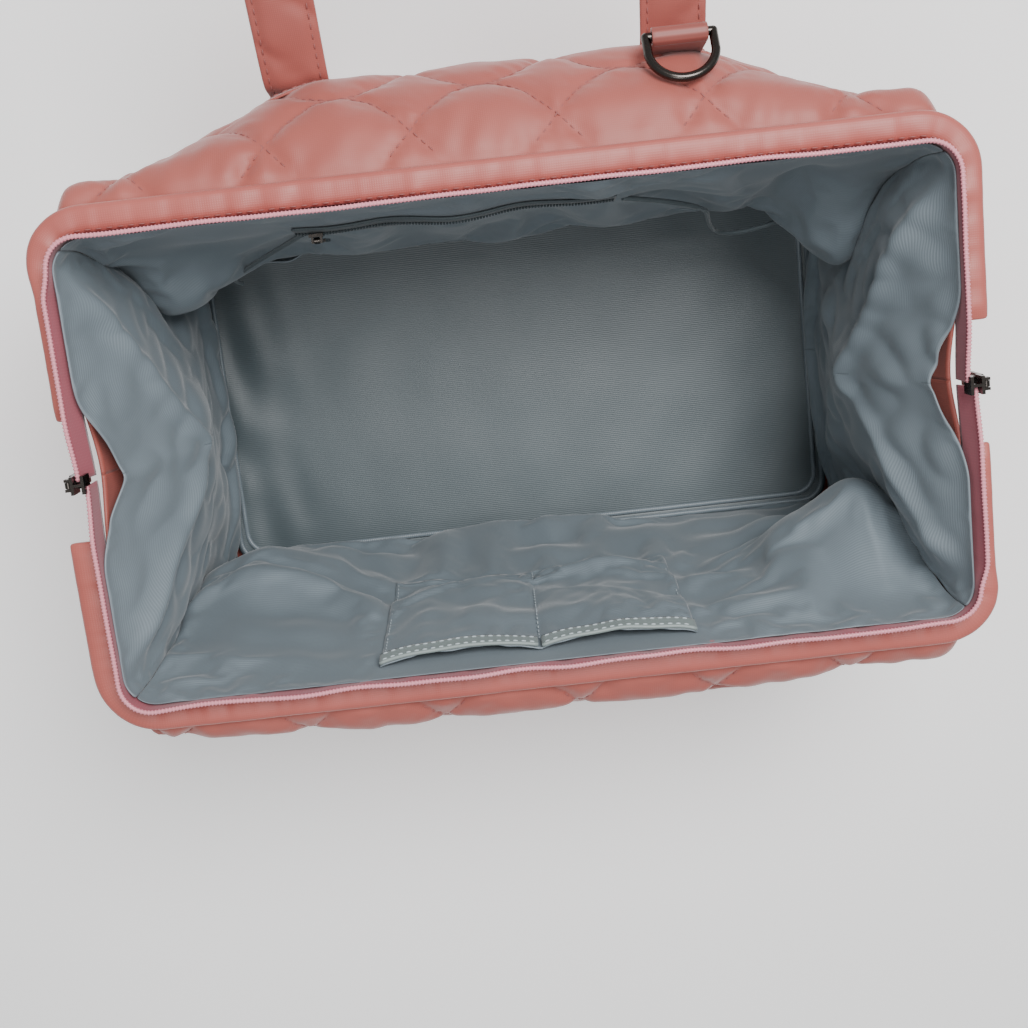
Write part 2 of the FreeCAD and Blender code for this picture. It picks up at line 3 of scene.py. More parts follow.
import bpy
import numpy as np
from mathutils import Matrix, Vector


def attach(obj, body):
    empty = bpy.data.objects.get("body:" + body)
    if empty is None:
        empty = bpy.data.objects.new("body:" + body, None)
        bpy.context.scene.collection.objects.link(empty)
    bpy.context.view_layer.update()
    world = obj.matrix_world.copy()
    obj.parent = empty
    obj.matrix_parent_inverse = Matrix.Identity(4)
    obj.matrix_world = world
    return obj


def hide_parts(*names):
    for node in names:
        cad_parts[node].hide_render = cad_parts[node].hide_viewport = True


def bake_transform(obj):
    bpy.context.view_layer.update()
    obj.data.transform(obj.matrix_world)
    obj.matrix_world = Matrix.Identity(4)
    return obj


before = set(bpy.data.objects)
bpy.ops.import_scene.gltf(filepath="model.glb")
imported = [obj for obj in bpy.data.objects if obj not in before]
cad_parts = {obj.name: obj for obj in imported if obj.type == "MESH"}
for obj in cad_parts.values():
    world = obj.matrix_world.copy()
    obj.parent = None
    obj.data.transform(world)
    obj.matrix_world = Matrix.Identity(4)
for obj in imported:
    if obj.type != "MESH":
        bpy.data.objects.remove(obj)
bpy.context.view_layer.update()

# ---- Camera ----
# Held above the open mouth and a little behind the middle of the bag, looking down into it.

camera_data = bpy.data.cameras.new("camera")
camera_data.sensor_width = 36.0
camera_data.lens = 47.73
camera = bpy.data.objects.new("camera", camera_data)
bpy.context.collection.objects.link(camera)
camera.location = (-0.0051, 0.0826, 0.8437)
camera.rotation_euler = (math.radians(-11.26), math.radians(-0.86), math.radians(-6.29))
bpy.context.scene.camera = camera

# ---- Floor of the bag ----
# A stiff board between the padded underside and a taut satin lining. The underside is the same
# nylon as the walls, quilted in squares, and a cord piping is sewn into the seam all round it.


def linear(hex_colour):
    """An sRGB hex colour as the linear numbers that a shader takes."""
    parts = [int(hex_colour[i:i + 2], 16) / 255 for i in (1, 3, 5)]
    return tuple(c / 12.92 if c <= 0.04045 else ((c + 0.055) / 1.055) ** 2.4 for c in parts) + (1.0,)


def add_node(tree, kind, settings=None, links=None):
    """Adds a node, sets its properties and inputs, and links its inputs from other nodes' outputs."""
    node = tree.nodes.new(kind)
    for key, value in (settings or {}).items():
        if isinstance(key, str) and hasattr(node, key):
            setattr(node, key, value)
        else:
            node.inputs[key].default_value = value
    for key, source in (links or {}).items():
        tree.links.new(source, node.inputs[key])
    return node


def new_material(name):
    material = bpy.data.materials.new(name)
    material.use_nodes = True
    material.node_tree.nodes.clear()
    return material, material.node_tree


def bands(millimetres):
    """Wave texture scale that gives one band in so many mm."""
    return math.pi / 10 / (millimetres * 0.001)


def woven_nylon(name, light, dark, rough=0.52, sheen=0.25, thread=0.9):
    """Tight plain-weave nylon with a soft sheen: threads cross every 0.4 mm, drawn 0.9 mm to show."""
    material, tree = new_material(name)
    place = add_node(tree, "ShaderNodeTexCoord")
    count = bands(thread)
    warp = add_node(tree, "ShaderNodeTexWave", {"bands_direction": "X", "Scale": count, "Distortion": 0.4},
                    {"Vector": place.outputs["UV"]})
    weft = add_node(tree, "ShaderNodeTexWave", {"bands_direction": "Y", "Scale": count, "Distortion": 0.4},
                    {"Vector": place.outputs["UV"]})
    weave = add_node(tree, "ShaderNodeMath", {"operation": "MULTIPLY"},
                     {0: warp.outputs["Fac"], 1: weft.outputs["Fac"]})
    cloud = add_node(tree, "ShaderNodeTexNoise", {"Scale": 14.0, "Detail": 3.0, "Roughness": 0.55},
                     {"Vector": place.outputs["Object"]})
    tint = add_node(tree, "ShaderNodeMix", {"data_type": "RGBA"}, {0: cloud.outputs["Fac"]})
    tint.inputs[6].default_value = linear(dark)
    tint.inputs[7].default_value = linear(light)
    fine = add_node(tree, "ShaderNodeMix", {"data_type": "RGBA", "blend_type": "MULTIPLY"},
                    {6: tint.outputs[2]})
    fine.inputs[0].default_value = 0.10
    shade = add_node(tree, "ShaderNodeValToRGB", None, {0: weave.outputs[0]})
    tree.links.new(shade.outputs[0], fine.inputs[7])
    bump = add_node(tree, "ShaderNodeBump", {"Strength": 0.25, "Distance": 0.0002},
                    {"Height": weave.outputs[0]})
    grain = add_node(tree, "ShaderNodeMapRange", {"To Min": rough - 0.05, "To Max": rough + 0.06},
                     {"Value": cloud.outputs["Fac"]})
    shader = add_node(tree, "ShaderNodeBsdfPrincipled",
                      {"IOR": 1.5, "Sheen Weight": sheen, "Sheen Roughness": 0.4},
                      {"Base Color": fine.outputs[2], "Roughness": grain.outputs[0],
                       "Normal": bump.outputs[0]})
    add_node(tree, "ShaderNodeOutputMaterial", None, {0: shader.outputs[0]})
    return material


def finish_sheet(piece, material, body):
    piece.data.materials.clear()
    piece.data.materials.append(material)
    piece.data.shade_smooth()
    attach(piece, body)


def grid_piece(name, points, weld=False):
    """A grid primitive whose points are put in their places, given in mm by rows and columns.

    Its UV map is the cloth laid flat, in metres.
    """
    points = np.asarray(points, dtype=float)
    rows, columns = points.shape[:2]
    bpy.ops.object.select_all(action="DESELECT")
    bpy.ops.mesh.primitive_grid_add(x_subdivisions=columns - 1, y_subdivisions=rows - 1, size=2)
    piece = bpy.context.object
    piece.name = name
    piece.data.name = name
    mesh = piece.data
    mesh.vertices.foreach_set("co", (points * 0.001).reshape(-1))
    mid_row, mid_column = points[rows // 2], points[:, columns // 2]
    along = np.concatenate([[0], np.cumsum(np.linalg.norm(np.diff(mid_row, axis=0), axis=1))])
    up = np.concatenate([[0], np.cumsum(np.linalg.norm(np.diff(mid_column, axis=0), axis=1))])
    flat = np.stack(np.meshgrid(along * 0.001, up * 0.001), axis=-1).reshape(-1, 2)
    corner = np.zeros(len(mesh.loops), dtype=int)
    mesh.loops.foreach_get("vertex_index", corner)
    mesh.uv_layers[0].data.foreach_set("uv", flat[corner].reshape(-1))
    if weld:
        bpy.ops.object.mode_set(mode="EDIT")
        bpy.ops.mesh.select_all(action="SELECT")
        bpy.ops.mesh.remove_doubles(threshold=0.00002)
        bpy.ops.mesh.normals_make_consistent(inside=False)
        bpy.ops.object.mode_set(mode="OBJECT")
    mesh.update()
    return piece


def use_modifier(piece, kind, **settings):
    bpy.ops.object.select_all(action="DESELECT")
    piece.select_set(True)
    bpy.context.view_layer.objects.active = piece
    modifier = piece.modifiers.new(kind.title(), kind)
    for key, value in settings.items():
        setattr(modifier, key, value)
    bpy.ops.object.modifier_apply(modifier=modifier.name)


def thicken(piece, millimetres):
    use_modifier(piece, "SOLIDIFY", thickness=millimetres * 0.001, offset=0.0)


def tube(name, path, up, outline, weld=True):
    """A tube along a path in mm. The outline gives points across and up at each step of the path."""
    path = np.asarray(path, dtype=float)
    up = np.asarray(up, dtype=float)
    along = np.gradient(path, axis=0)
    along /= np.linalg.norm(along, axis=1)[:, None]
    across = np.cross(along, up)
    across /= np.linalg.norm(across, axis=1)[:, None]
    outline = np.broadcast_to(np.asarray(outline, dtype=float), (len(path),) + np.shape(outline)[-2:])
    outline = np.concatenate([outline, outline[:, :1]], axis=1)
    rings = path[:, None] + across[:, None] * outline[:, :, :1] + up * outline[:, :, 1:]
    first = np.repeat(rings[:1].mean(axis=1, keepdims=True), rings.shape[1], axis=1)
    last = np.repeat(rings[-1:].mean(axis=1, keepdims=True), rings.shape[1], axis=1)
    closed = np.linalg.norm(path[0] - path[-1]) < 0.01
    if not closed:
        rings = np.concatenate([first, rings, last])
    return grid_piece(name, rings, weld)


def ellipse(across, up, count=12):
    angle = np.linspace(0, 2 * np.pi, count, endpoint=False)
    return np.stack([across * np.cos(angle), up * np.sin(angle)], axis=1)


def ripple(a, b, size, seed, count=7):
    """Smooth uneven waves about as long as the given size, from -1 to 1."""
    chance = np.random.RandomState(seed)
    total = 0
    for _ in range(count):
        turn = chance.uniform(0, 2 * np.pi)
        pace = 2 * np.pi / size * chance.uniform(0.6, 1.5)
        total = total + np.sin((a * np.cos(turn) + b * np.sin(turn)) * pace + chance.uniform(0, 6.3))
    return total / count * 1.6


def ease(t):
    t = np.clip(t, 0, 1)
    return t * t * (3 - 2 * t)


FLOOR_HALF = (192.0, 104.0)
FLOOR_CORNER = 16.0


def rounded(u, v, half, corner):
    """Puts a square's points, from -1 to 1, into a rectangle with round corners."""
    x, y = u * half[0], v * half[1]
    a = np.clip((np.abs(x) - half[0] + corner) / corner, 0, 1)
    b = np.clip((np.abs(y) - half[1] + corner) / corner, 0, 1)
    pull = np.where((a > 0) & (b > 0), np.maximum(a, b) / np.maximum(np.hypot(a, b), 1e-9), 1.0)
    x = np.where((a > 0) & (b > 0), np.sign(x) * (half[0] - corner + corner * a * pull), x)
    y = np.where((a > 0) & (b > 0), np.sign(y) * (half[1] - corner + corner * b * pull), y)
    return x, y


def rounded_ring(half, corner, z, step=3.0):
    """Closed path round a rectangle with round corners."""
    points = []
    for k in range(4):
        sx, sy = ((1, 1), (-1, 1), (-1, -1), (1, -1))[k]
        for a in np.linspace(0, np.pi / 2, 9):
            turn = a + k * np.pi / 2
            centre = (sx * (half[0] - corner), sy * (half[1] - corner))
            points.append((centre[0] + corner * np.cos(turn), centre[1] + corner * np.sin(turn), z))
    points.append(points[0])
    return resample(np.array(points), step)


def resample(points, step):
    points = np.asarray(points, dtype=float)
    run = np.concatenate([[0], np.cumsum(np.linalg.norm(np.diff(points, axis=0), axis=1))])
    count = max(2, int(round(run[-1] / step)) + 1)
    where = np.linspace(0, run[-1], count)
    return np.stack([np.interp(where, run, points[:, k]) for k in range(3)], axis=1)


quilted_nylon = woven_nylon("rose quilted nylon", "#ad5f55", "#9a4e45")

u, v = np.meshgrid(np.linspace(-1, 1, 121), np.linspace(-1, 1, 67))
x, y = rounded(u, v, FLOOR_HALF, FLOOR_CORNER)
square = np.minimum(np.abs((x / 32) % 1 - 0.5), np.abs((y / 32) % 1 - 0.5)) * 2
z = 2.2 - 1.7 * np.sqrt(np.clip(square * 1.6, 0, 1))
underside = grid_piece("underside", np.stack([x, y, z], axis=-1))
thicken(underside, 1.2)
finish_sheet(underside, quilted_nylon, "bag_base")
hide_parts("base_panel")

piping_ring = rounded_ring((194.6, 106.6), FLOOR_CORNER + 2, 2.4)
piping = tube("base_piping_cord", piping_ring, (0, 0, 1), ellipse(2.1, 2.1))
finish_sheet(piping, quilted_nylon, "bag_base")
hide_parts("base_piping")

# The lining's satin: a dull blue-grey with a fine rib every 0.5 mm, drawn 1.2 mm to show.
# Light slides over it. The floor's copy is pulled tight over the board and is given darker colours, which
# are painted shade for the bottom of the bag.


def ribbed_satin(name, light, dark, rib=1.2, rough=0.36):
    material, tree = new_material(name)
    place = add_node(tree, "ShaderNodeTexCoord")
    cloud = add_node(tree, "ShaderNodeTexNoise", {"Scale": 9.0, "Detail": 4.0, "Roughness": 0.6},
                     {"Vector": place.outputs["Object"]})
    ribs = add_node(tree, "ShaderNodeTexWave",
                    {"bands_direction": "Y", "Scale": bands(rib), "Distortion": 0.5, "Detail": 1.0},
                    {"Vector": place.outputs["UV"]})
    tint = add_node(tree, "ShaderNodeMix", {"data_type": "RGBA"}, {0: cloud.outputs["Fac"]})
    tint.inputs[6].default_value = linear(dark)
    tint.inputs[7].default_value = linear(light)
    lines = add_node(tree, "ShaderNodeMix", {"data_type": "RGBA", "blend_type": "MULTIPLY"},
                     {6: tint.outputs[2]})
    lines.inputs[0].default_value = 0.13
    tree.links.new(ribs.outputs["Color"], lines.inputs[7])
    bump = add_node(tree, "ShaderNodeBump", {"Strength": 0.3, "Distance": 0.0002},
                    {"Height": ribs.outputs["Fac"]})
    soft = add_node(tree, "ShaderNodeBump", {"Strength": 0.35, "Distance": 0.002},
                    {"Height": cloud.outputs["Fac"], "Normal": bump.outputs[0]})
    polish = add_node(tree, "ShaderNodeMapRange", {"To Min": rough - 0.04, "To Max": rough + 0.10},
                      {"Value": cloud.outputs["Fac"]})
    shader = add_node(tree, "ShaderNodeBsdfPrincipled",
                      {"IOR": 1.52, "Sheen Weight": 0.2, "Sheen Roughness": 0.35, "Metallic": 0.0},
                      {"Base Color": lines.outputs[2], "Roughness": polish.outputs[0],
                       "Normal": soft.outputs[0]})
    add_node(tree, "ShaderNodeOutputMaterial", None, {0: shader.outputs[0]})
    return material


satin = ribbed_satin("blue-grey ribbed satin", "#828d94", "#6c777e")
# Same satin as the walls, made darker: its darker colours are painted shade for the floor deep in the bag.
floor_satin_with_painted_shade = ribbed_satin("taut floor satin with painted shade", "#616c70", "#4c565a", rough=0.4)

LINED_FLOOR_HALF = (184.0, 97.0)
BOARD_TOP = 8.0
u, v = np.meshgrid(np.linspace(-1, 1, 121), np.linspace(-1, 1, 67))
x, y = rounded(u, v, LINED_FLOOR_HALF, 14.0)
edge = np.maximum(np.abs(x) / LINED_FLOOR_HALF[0], np.abs(y) / LINED_FLOOR_HALF[1])
slack = ease((-x - 120) / 50) * 1.6 * ripple(x, y, 34, 3) + 0.35 * ripple(x, y, 60, 4)
z = BOARD_TOP + 0.6 + slack * (1 - ease((edge - 0.93) / 0.07)) + 1.6 * ease((edge - 0.96) / 0.04)
floor_lining = grid_piece("floor_lining", np.stack([x, y, z], axis=-1))
thicken(floor_lining, 0.8)
finish_sheet(floor_lining, floor_satin_with_painted_shade, "bag_base")
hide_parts("lining_floor")

for k, (inset, height) in enumerate(((2.0, 10.4), (6.5, 9.6))):
    ring = rounded_ring((LINED_FLOOR_HALF[0] - inset, LINED_FLOOR_HALF[1] - inset), 13.0, height, 2.5)
    ring[:, 2] += 0.5 * ripple(ring[:, 0], ring[:, 1], 20, 8)
    ring[-1] = ring[0]
    seam = tube("floor_seam_%d" % k, ring, (0, 0, 1), ellipse(1.5, 1.1, 8))
    finish_sheet(seam, satin, "bag_base")


def moulded_plastic(name, colour, rough=0.45):
    """Moulded polypropylene board with a fine matt grain."""
    material, tree = new_material(name)
    place = add_node(tree, "ShaderNodeTexCoord")
    grain = add_node(tree, "ShaderNodeTexNoise", {"Scale": 900.0, "Detail": 2.0},
                     {"Vector": place.outputs["Object"]})
    bump = add_node(tree, "ShaderNodeBump", {"Strength": 0.15, "Distance": 0.0001},
                    {"Height": grain.outputs["Fac"]})
    shader = add_node(tree, "ShaderNodeBsdfPrincipled",
                      {"Base Color": linear(colour), "Roughness": rough, "IOR": 1.49},
                      {"Normal": bump.outputs[0]})
    add_node(tree, "ShaderNodeOutputMaterial", None, {0: shader.outputs[0]})
    return material


def repaint(node, material):
    """Gives a CAD node its finish."""
    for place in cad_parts[node].material_slots:
        place.material = material


repaint("base_board", moulded_plastic("dark polypropylene", "#3a3b3e"))

# ---- Lining walls ----
# Satin sheets cut larger than the walls, sewn in at the mouth and the floor only. They sag off the
# padding and gather into loose lobes at three of the four corners, where the end folds push them in.

LINING_Y = 98.0
LINING_X = 186.0
WALL_FOOT = 9.0
LINING_TOP = 257.0
TOP_EDGE = (191.1, 103.1)
TOP_CORNER = 13.5
TOP_DIAGONAL = 0.2929 * TOP_CORNER


def lump(x, z, cx, cz, wx, wz):
    return np.exp(-((x - cx) / wx) ** 2 - ((z - cz) / wz) ** 2)


def lining_depth(side, x, z):
    """How far the lining stands in from its wall."""
    ends = ease((z - WALL_FOOT) / 25) * ease((LINING_TOP - 8 - z) / 30)
    if side > 0:
        sag = 42 * lump(x, z, 168, 138, 26, 40) + 30 * lump(x, z, -166, 138, 30, 38)
        sag = sag + 4 * lump(x, z, 118, 170, 16, 50) - 5 * lump(x, z, 138, 195, 9, 30)
        sag = sag + 7 * lump(x, z, -20, 110, 120, 70)
        sag = sag + 2.4 * ripple(x, z * 0.7, 46, 21)
    else:
        sag = 40 * lump(x, z, 164, 165, 32, 38) + 22 * lump(x, z, -150, 120, 45, 55)
        sag = sag + 9 * lump(x, z, 128, 120, 20, 60)
        sag = sag + 8 * lump(x, z, 0, 60, 150, 50)
        sag = sag + 2.8 * ripple(x, z * 0.8, 40, 22)
    return sag * ends


def corner_drop(along, reach):
    """How far the mouth's edge pulls in round its corner, at a distance along one side."""
    past = np.clip(np.abs(along) - reach + TOP_CORNER, 0, TOP_CORNER)
    return TOP_CORNER - np.sqrt(TOP_CORNER ** 2 - past ** 2)


def lining_face(side, x, z):
    """Depth of the lining wall at x and z: straight at the foot, round the mouth's corner at the top."""
    foot_lean = 1.5 * (1 - ease((z - WALL_FOOT) / 30))
    head = ease((z - 205) / 50)
    body = LINING_Y - foot_lean - lining_depth(side, x, z)
    return side * ((1 - head) * body + head * (TOP_EDGE[1] - corner_drop(x, TOP_EDGE[0])))


def end_column(z):
    """Half length of the lining walls at each height."""
    head = ease((z - 205) / 50)
    return LINING_X + head * (TOP_EDGE[0] - TOP_DIAGONAL - LINING_X)


def crumple(piece, pinned, outward, grow=0.05, steps=28, cap=9.0, bending=0.15):
    """Lets a sheet that is cut too large settle into wrinkles between the edges that are sewn down.

    It moves 1 mm at most towards outward, where its shell is.
    """
    mesh = piece.data
    before = np.zeros(len(mesh.vertices) * 3)
    mesh.vertices.foreach_get("co", before)
    sewn = piece.vertex_groups.new(name="sewn")
    for index in np.nonzero(pinned)[0]:
        sewn.add([int(index)], 1.0, "REPLACE")
    cloth = piece.modifiers.new("Cloth", "CLOTH")
    cloth.settings.vertex_group_mass = "sewn"
    cloth.settings.shrink_min = -grow
    cloth.settings.shrink_max = -grow
    cloth.settings.quality = 5
    cloth.settings.mass = 0.15
    cloth.settings.tension_stiffness = 15
    cloth.settings.compression_stiffness = 15
    cloth.settings.shear_stiffness = 8
    cloth.settings.bending_stiffness = bending
    cloth.settings.air_damping = 2.0
    cloth.settings.effector_weights.gravity = 0.15
    cloth.point_cache.frame_start = 1
    cloth.point_cache.frame_end = steps
    for step in range(1, steps + 1):
        bpy.context.scene.frame_set(step)
    posed = piece.evaluated_get(bpy.context.evaluated_depsgraph_get())
    after = np.zeros(len(mesh.vertices) * 3)
    posed.data.vertices.foreach_get("co", after)
    piece.modifiers.remove(cloth)
    piece.vertex_groups.remove(sewn)
    bpy.context.scene.frame_set(1)
    moved = (after - before).reshape(-1, 3)
    reach = np.linalg.norm(moved, axis=1)
    limit = cap * 0.001
    share = np.where(reach > 1e-9, limit * np.tanh(reach / limit) / np.maximum(reach, 1e-9), 1.0)
    moved = moved * share[:, None]
    past = np.clip(moved @ np.array(outward, dtype=float) - 0.001, 0, None)
    moved -= past[:, None] * np.array(outward, dtype=float)
    mesh.vertices.foreach_set("co", (before.reshape(-1, 3) + moved).reshape(-1))
    mesh.update()


def edge_rows(rows, columns, top=1, bottom=1, left=1, right=1):
    """Marks the outermost rows and columns of a grid."""
    marked = np.zeros((rows, columns), dtype=bool)
    marked[:bottom] = True
    marked[rows - top:] = True
    marked[:, :left] = True
    marked[:, columns - right:] = True
    return marked.reshape(-1)


lining_walls = {}
for side, word in ((1, "back"), (-1, "front")):
    x, z = np.meshgrid(np.linspace(-1, 1, 125), np.linspace(WALL_FOOT, LINING_TOP, 77))
    x = x * end_column(z)
    wall = grid_piece("lining_wall_" + word, np.stack([x, lining_face(side, x, z), z], axis=-1))
    flat = (z > 116) & (x > -82) & (x < 72)
    if side > 0:
        flat = (z > 203) & (z < 225) & (x > -98) & (x < 56)
        flat |= (z < 114) & ((x > 48) & (x < 152) | (x > -152) & (x < -92))
    crumple(wall, edge_rows(77, 125) | flat.reshape(-1), (0, side, 0), grow=0.06, cap=12.0, bending=0.8)
    thicken(wall, 0.7)
    use_modifier(wall, "SUBSURF", levels=1, render_levels=1)
    finish_sheet(wall, satin, "wall_" + word)
    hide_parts("lining_" + word)
    lining_walls[side] = wall

# ---- End gussets ----
# Each end is a satin and a nylon panel that folds inward in a deep pleat when the mouth closes.
# Each panel is cut at the middle into a back half and a front half.

GUSSET_X = 186.0
APEX = (21.0, 165.0)
GUSSET_TOP = LINING_TOP


def gusset_depth(share, z, sharp=9.0):
    """Fold depth from 0 at the edges to 1 at the apex, in four flat faces that meet in creases."""
    up = np.where(z > APEX[1], (z - APEX[1]) / (GUSSET_TOP - APEX[1]), (APEX[1] - z) / (APEX[1] - WALL_FOOT))
    away = (np.abs(share) ** sharp + np.abs(up) ** sharp) ** (1 / sharp)
    return np.clip(1 - away, 0, 1), up


def gusset_points(end, depth, rows=73, columns=97, inner=True):
    low, high, dip = (WALL_FOOT, GUSSET_TOP, 17.0) if inner else (4.5, 244.0, 8.0)
    share, level = np.meshgrid(np.linspace(-1, 1, columns), np.linspace(0, 1, rows))
    z = low + level * (high - low - dip * (1 - ease(np.abs(share) * 2.3)))
    tent, up = gusset_depth(share, z)
    column = end_column(z)
    if not inner:
        y = share * (96.0 + 17.0 * (z - 8) / 243)
        swell = 1.2 * ripple(y, z, 60, 51 + end) * ease(tent * 6)
        return np.stack([end * (191.5 + 4.0 * ease((z - 200) / 30) - depth * tent - swell), y, z], axis=-1)
    back = lining_face(1, end * column, z)
    front = lining_face(-1, end * column, z)
    y = np.where(share > 0, share * back, -share * front)
    ridge = np.exp(-((np.abs(share) - up) / 0.09) ** 2) * (z > APEX[1]) * ease(tent * 6)
    folds = np.abs(ripple(y, z, 40, 31 + end)) * 3.0 + np.abs(ripple(y, z, 90, 41 + end)) * 3.0
    pleat = np.exp(-(y / 7.0) ** 2) * ease((z - 150) / 60) * 3.5
    x = depth * tent + (5.0 * ridge + folds + pleat) * ease(tent * 5)
    head = ease((z - 205) / 50)
    edge = TOP_EDGE[0] - corner_drop(y, TOP_EDGE[1])
    return np.stack([end * ((1 - head) * GUSSET_X + head * edge - x), y, z], axis=-1)


def split_half(piece, side, name):
    """Keeps the half of a piece on one side of the middle plane."""
    half = piece.copy()
    half.data = piece.data.copy()
    half.name = name
    half.data.name = name
    bpy.context.collection.objects.link(half)
    bpy.ops.object.select_all(action="DESELECT")
    half.select_set(True)
    bpy.context.view_layer.objects.active = half
    bpy.ops.object.mode_set(mode="EDIT")
    bpy.ops.mesh.select_all(action="SELECT")
    bpy.ops.mesh.bisect(plane_co=(0, 0, 0), plane_no=(0, side, 0), clear_inner=True, use_fill=True)
    bpy.ops.object.mode_set(mode="OBJECT")
    half.data.shade_smooth()
    for edge in half.data.edges:
        edge.use_edge_sharp = all(abs(half.data.vertices[k].co.y) < 0.00001 for k in edge.vertices)
    return half


for end, word in ((-1, "left"), (1, "right")):
    whole = grid_piece("gusset", gusset_points(end, 25.0))
    crumple(whole, edge_rows(73, 97), (end, 0, 0), grow=0.04, cap=10.0, bending=2.0)
    use_modifier(whole, "SUBSURF", levels=1, render_levels=1)
    thicken(whole, 0.7)
    shell = grid_piece("gusset_shell", gusset_points(end, 17.0, 49, 65, inner=False))
    use_modifier(shell, "SUBSURF", levels=1, render_levels=1)
    thicken(shell, 1.4)
    for side, near in ((1, "back"), (-1, "front")):
        lining = split_half(whole, side, "gusset_lining_%s_%s" % (word, near))
        lining.data.materials.append(satin)
        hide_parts("lining_end_" + word, "lining_fold_" + word)
        skin = split_half(shell, side, "gusset_shell_%s_%s" % (word, near))
        skin.data.materials.append(quilted_nylon)
        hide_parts("outer_end_" + word)
        for half in (lining, skin):
            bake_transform(half)
    bpy.data.objects.remove(whole)
    bpy.data.objects.remove(shell)

# ---- Quilted walls ----
# Nylon over wadding, quilted in rows of mirrored waves that cross every 63 mm, sewn with a running
# stitch. Each wall bulges out under its own slack and is sewn to the hem along its top.

WALL_HALF = 191.0
WALL_CORNER = 13.0
WALL_Z = (4.5, 251.0)
CROSSING = 63.0
WAVE_HEIGHT = 25.0
WAVE_PITCH = 50.0
FIRST_CROSSING = 20.0
WAVE_ROWS = 6
WAVE_OFFSET = {1: 28.0, -1: 12.0}
BULGE = {1: 38.0, -1: 12.0}
LEAN = 17.0


def wall_profile(side, x, z):
    s = (z - WALL_Z[0]) / (WALL_Z[1] - WALL_Z[0])
    taper = 1 - ease((np.abs(x) - 70) / 118)
    past = np.clip(np.abs(x) - WALL_HALF + WALL_CORNER, 0, WALL_CORNER)
    corner = WALL_CORNER - np.sqrt(WALL_CORNER ** 2 - past ** 2)
    lip = 10.5 * ease((z - 236) / 15) ** 1.5
    return 109 + LEAN * s + BULGE[side] * np.sin(np.pi * np.clip(s, 0, 1) ** 2.6) * taper - corner - lip


def wave_edges(x, down, side):
    """Distance from the nearest quilting line, for a point x along and so far down the cloth."""
    near = np.full(np.shape(x), 99.0)
    turn = np.pi * (x - WAVE_OFFSET[side]) / CROSSING
    slope = np.hypot(1, WAVE_HEIGHT * np.pi / CROSSING * np.cos(turn))
    for row in range(WAVE_ROWS):
        middle = FIRST_CROSSING + row * WAVE_PITCH
        for way in (1, -1):
            line = middle + way * WAVE_HEIGHT * np.sin(turn)
            near = np.minimum(near, np.abs(down - line) / slope)
    return near


def wall_grid(side, x, z):
    """Quilted surface with its outward normals, from rows of z (low to high) and columns of x."""
    y = wall_profile(side, x, z)
    step = np.hypot(np.diff(z, axis=0), np.diff(y, axis=0))
    down = np.concatenate([np.zeros((1, x.shape[1])), np.cumsum(step[::-1], axis=0)])[::-1]
    puff = 1 - np.exp(-wave_edges(x, down, side) / 5.5)
    seam = ease(down / 7) * ease((z - WALL_Z[0]) / 8) * ease((WALL_HALF - np.abs(x)) / 7)
    near = wave_edges(x, down, side)
    crinkle = 0.9 * ripple(x, down, 15, 61 + side) * np.exp(-down / 30) + 0.5 * ripple(x, down, 24, 63)
    crinkle = crinkle + 0.7 * ripple(x, down, 7.5, 65) * np.exp(-near / 5.0) * ease(near / 2)
    lift = 3.6 * puff * seam - 1.8 + crinkle * seam
    slope = np.gradient(y, axis=0) / np.maximum(np.gradient(z, axis=0), 1e-6)
    ny, nz = 1 / np.hypot(1, slope), -slope / np.hypot(1, slope)
    return x, y + lift * ny, z + lift * nz, down, ny, nz


def thread_dashes(name, lines, dash=3.0, gap=1.6, width=0.75, rise=0.45):
    """One small rounded dash, copied along each line of points and outward directions."""
    bpy.ops.object.select_all(action="DESELECT")
    bpy.ops.mesh.primitive_uv_sphere_add(segments=6, ring_count=4, radius=1.0)
    seed = bpy.context.object
    shape = np.array([vert.co for vert in seed.data.vertices])[:, [2, 0, 1]]
    faces = [tuple(face.vertices) for face in seed.data.polygons]
    bpy.data.objects.remove(seed)
    shape = shape * (dash / 2, width / 2, rise)
    points, polygons = [], []
    for line, outward in lines:
        run = np.concatenate([[0], np.cumsum(np.linalg.norm(np.diff(line, axis=0), axis=1))])
        for middle in np.arange(gap + dash / 2, run[-1] - dash / 2, dash + gap):
            here = np.array([np.interp(middle, run, line[:, k]) for k in range(3)])
            ahead = np.array([np.interp(middle + 0.5, run, line[:, k]) for k in range(3)])
            up = np.array([np.interp(middle, run, outward[:, k]) for k in range(3)])
            along = (ahead - here) / max(np.linalg.norm(ahead - here), 1e-9)
            across = np.cross(up, along)
            across /= np.linalg.norm(across)
            up = np.cross(along, across)
            base = len(points)
            points.extend((here + shape @ np.stack([along, across, up])) * 0.001)
            polygons.extend(tuple(base + i for i in face) for face in faces)
    mesh = bpy.data.meshes.new(name)
    mesh.from_pydata([tuple(p) for p in points], [], polygons)
    mesh.update()
    piece = bpy.data.objects.new(name, mesh)
    bpy.context.collection.objects.link(piece)
    return piece


def sewing_thread(name, colour):
    """Twisted polyester thread: matt, with a faint ply along it."""
    material, tree = new_material(name)
    place = add_node(tree, "ShaderNodeTexCoord")
    ply = add_node(tree, "ShaderNodeTexNoise", {"Scale": 1500.0}, {"Vector": place.outputs["Object"]})
    bump = add_node(tree, "ShaderNodeBump", {"Strength": 0.4, "Distance": 0.0001},
                    {"Height": ply.outputs["Fac"]})
    shader = add_node(tree, "ShaderNodeBsdfPrincipled",
                      {"Base Color": linear(colour), "Roughness": 0.7, "IOR": 1.5},
                      {"Normal": bump.outputs[0]})
    add_node(tree, "ShaderNodeOutputMaterial", None, {0: shader.outputs[0]})
    return material


rose_thread = sewing_thread("rose polyester thread", "#8f5450")
grey_thread = sewing_thread("pale grey polyester thread", "#aab4b8")

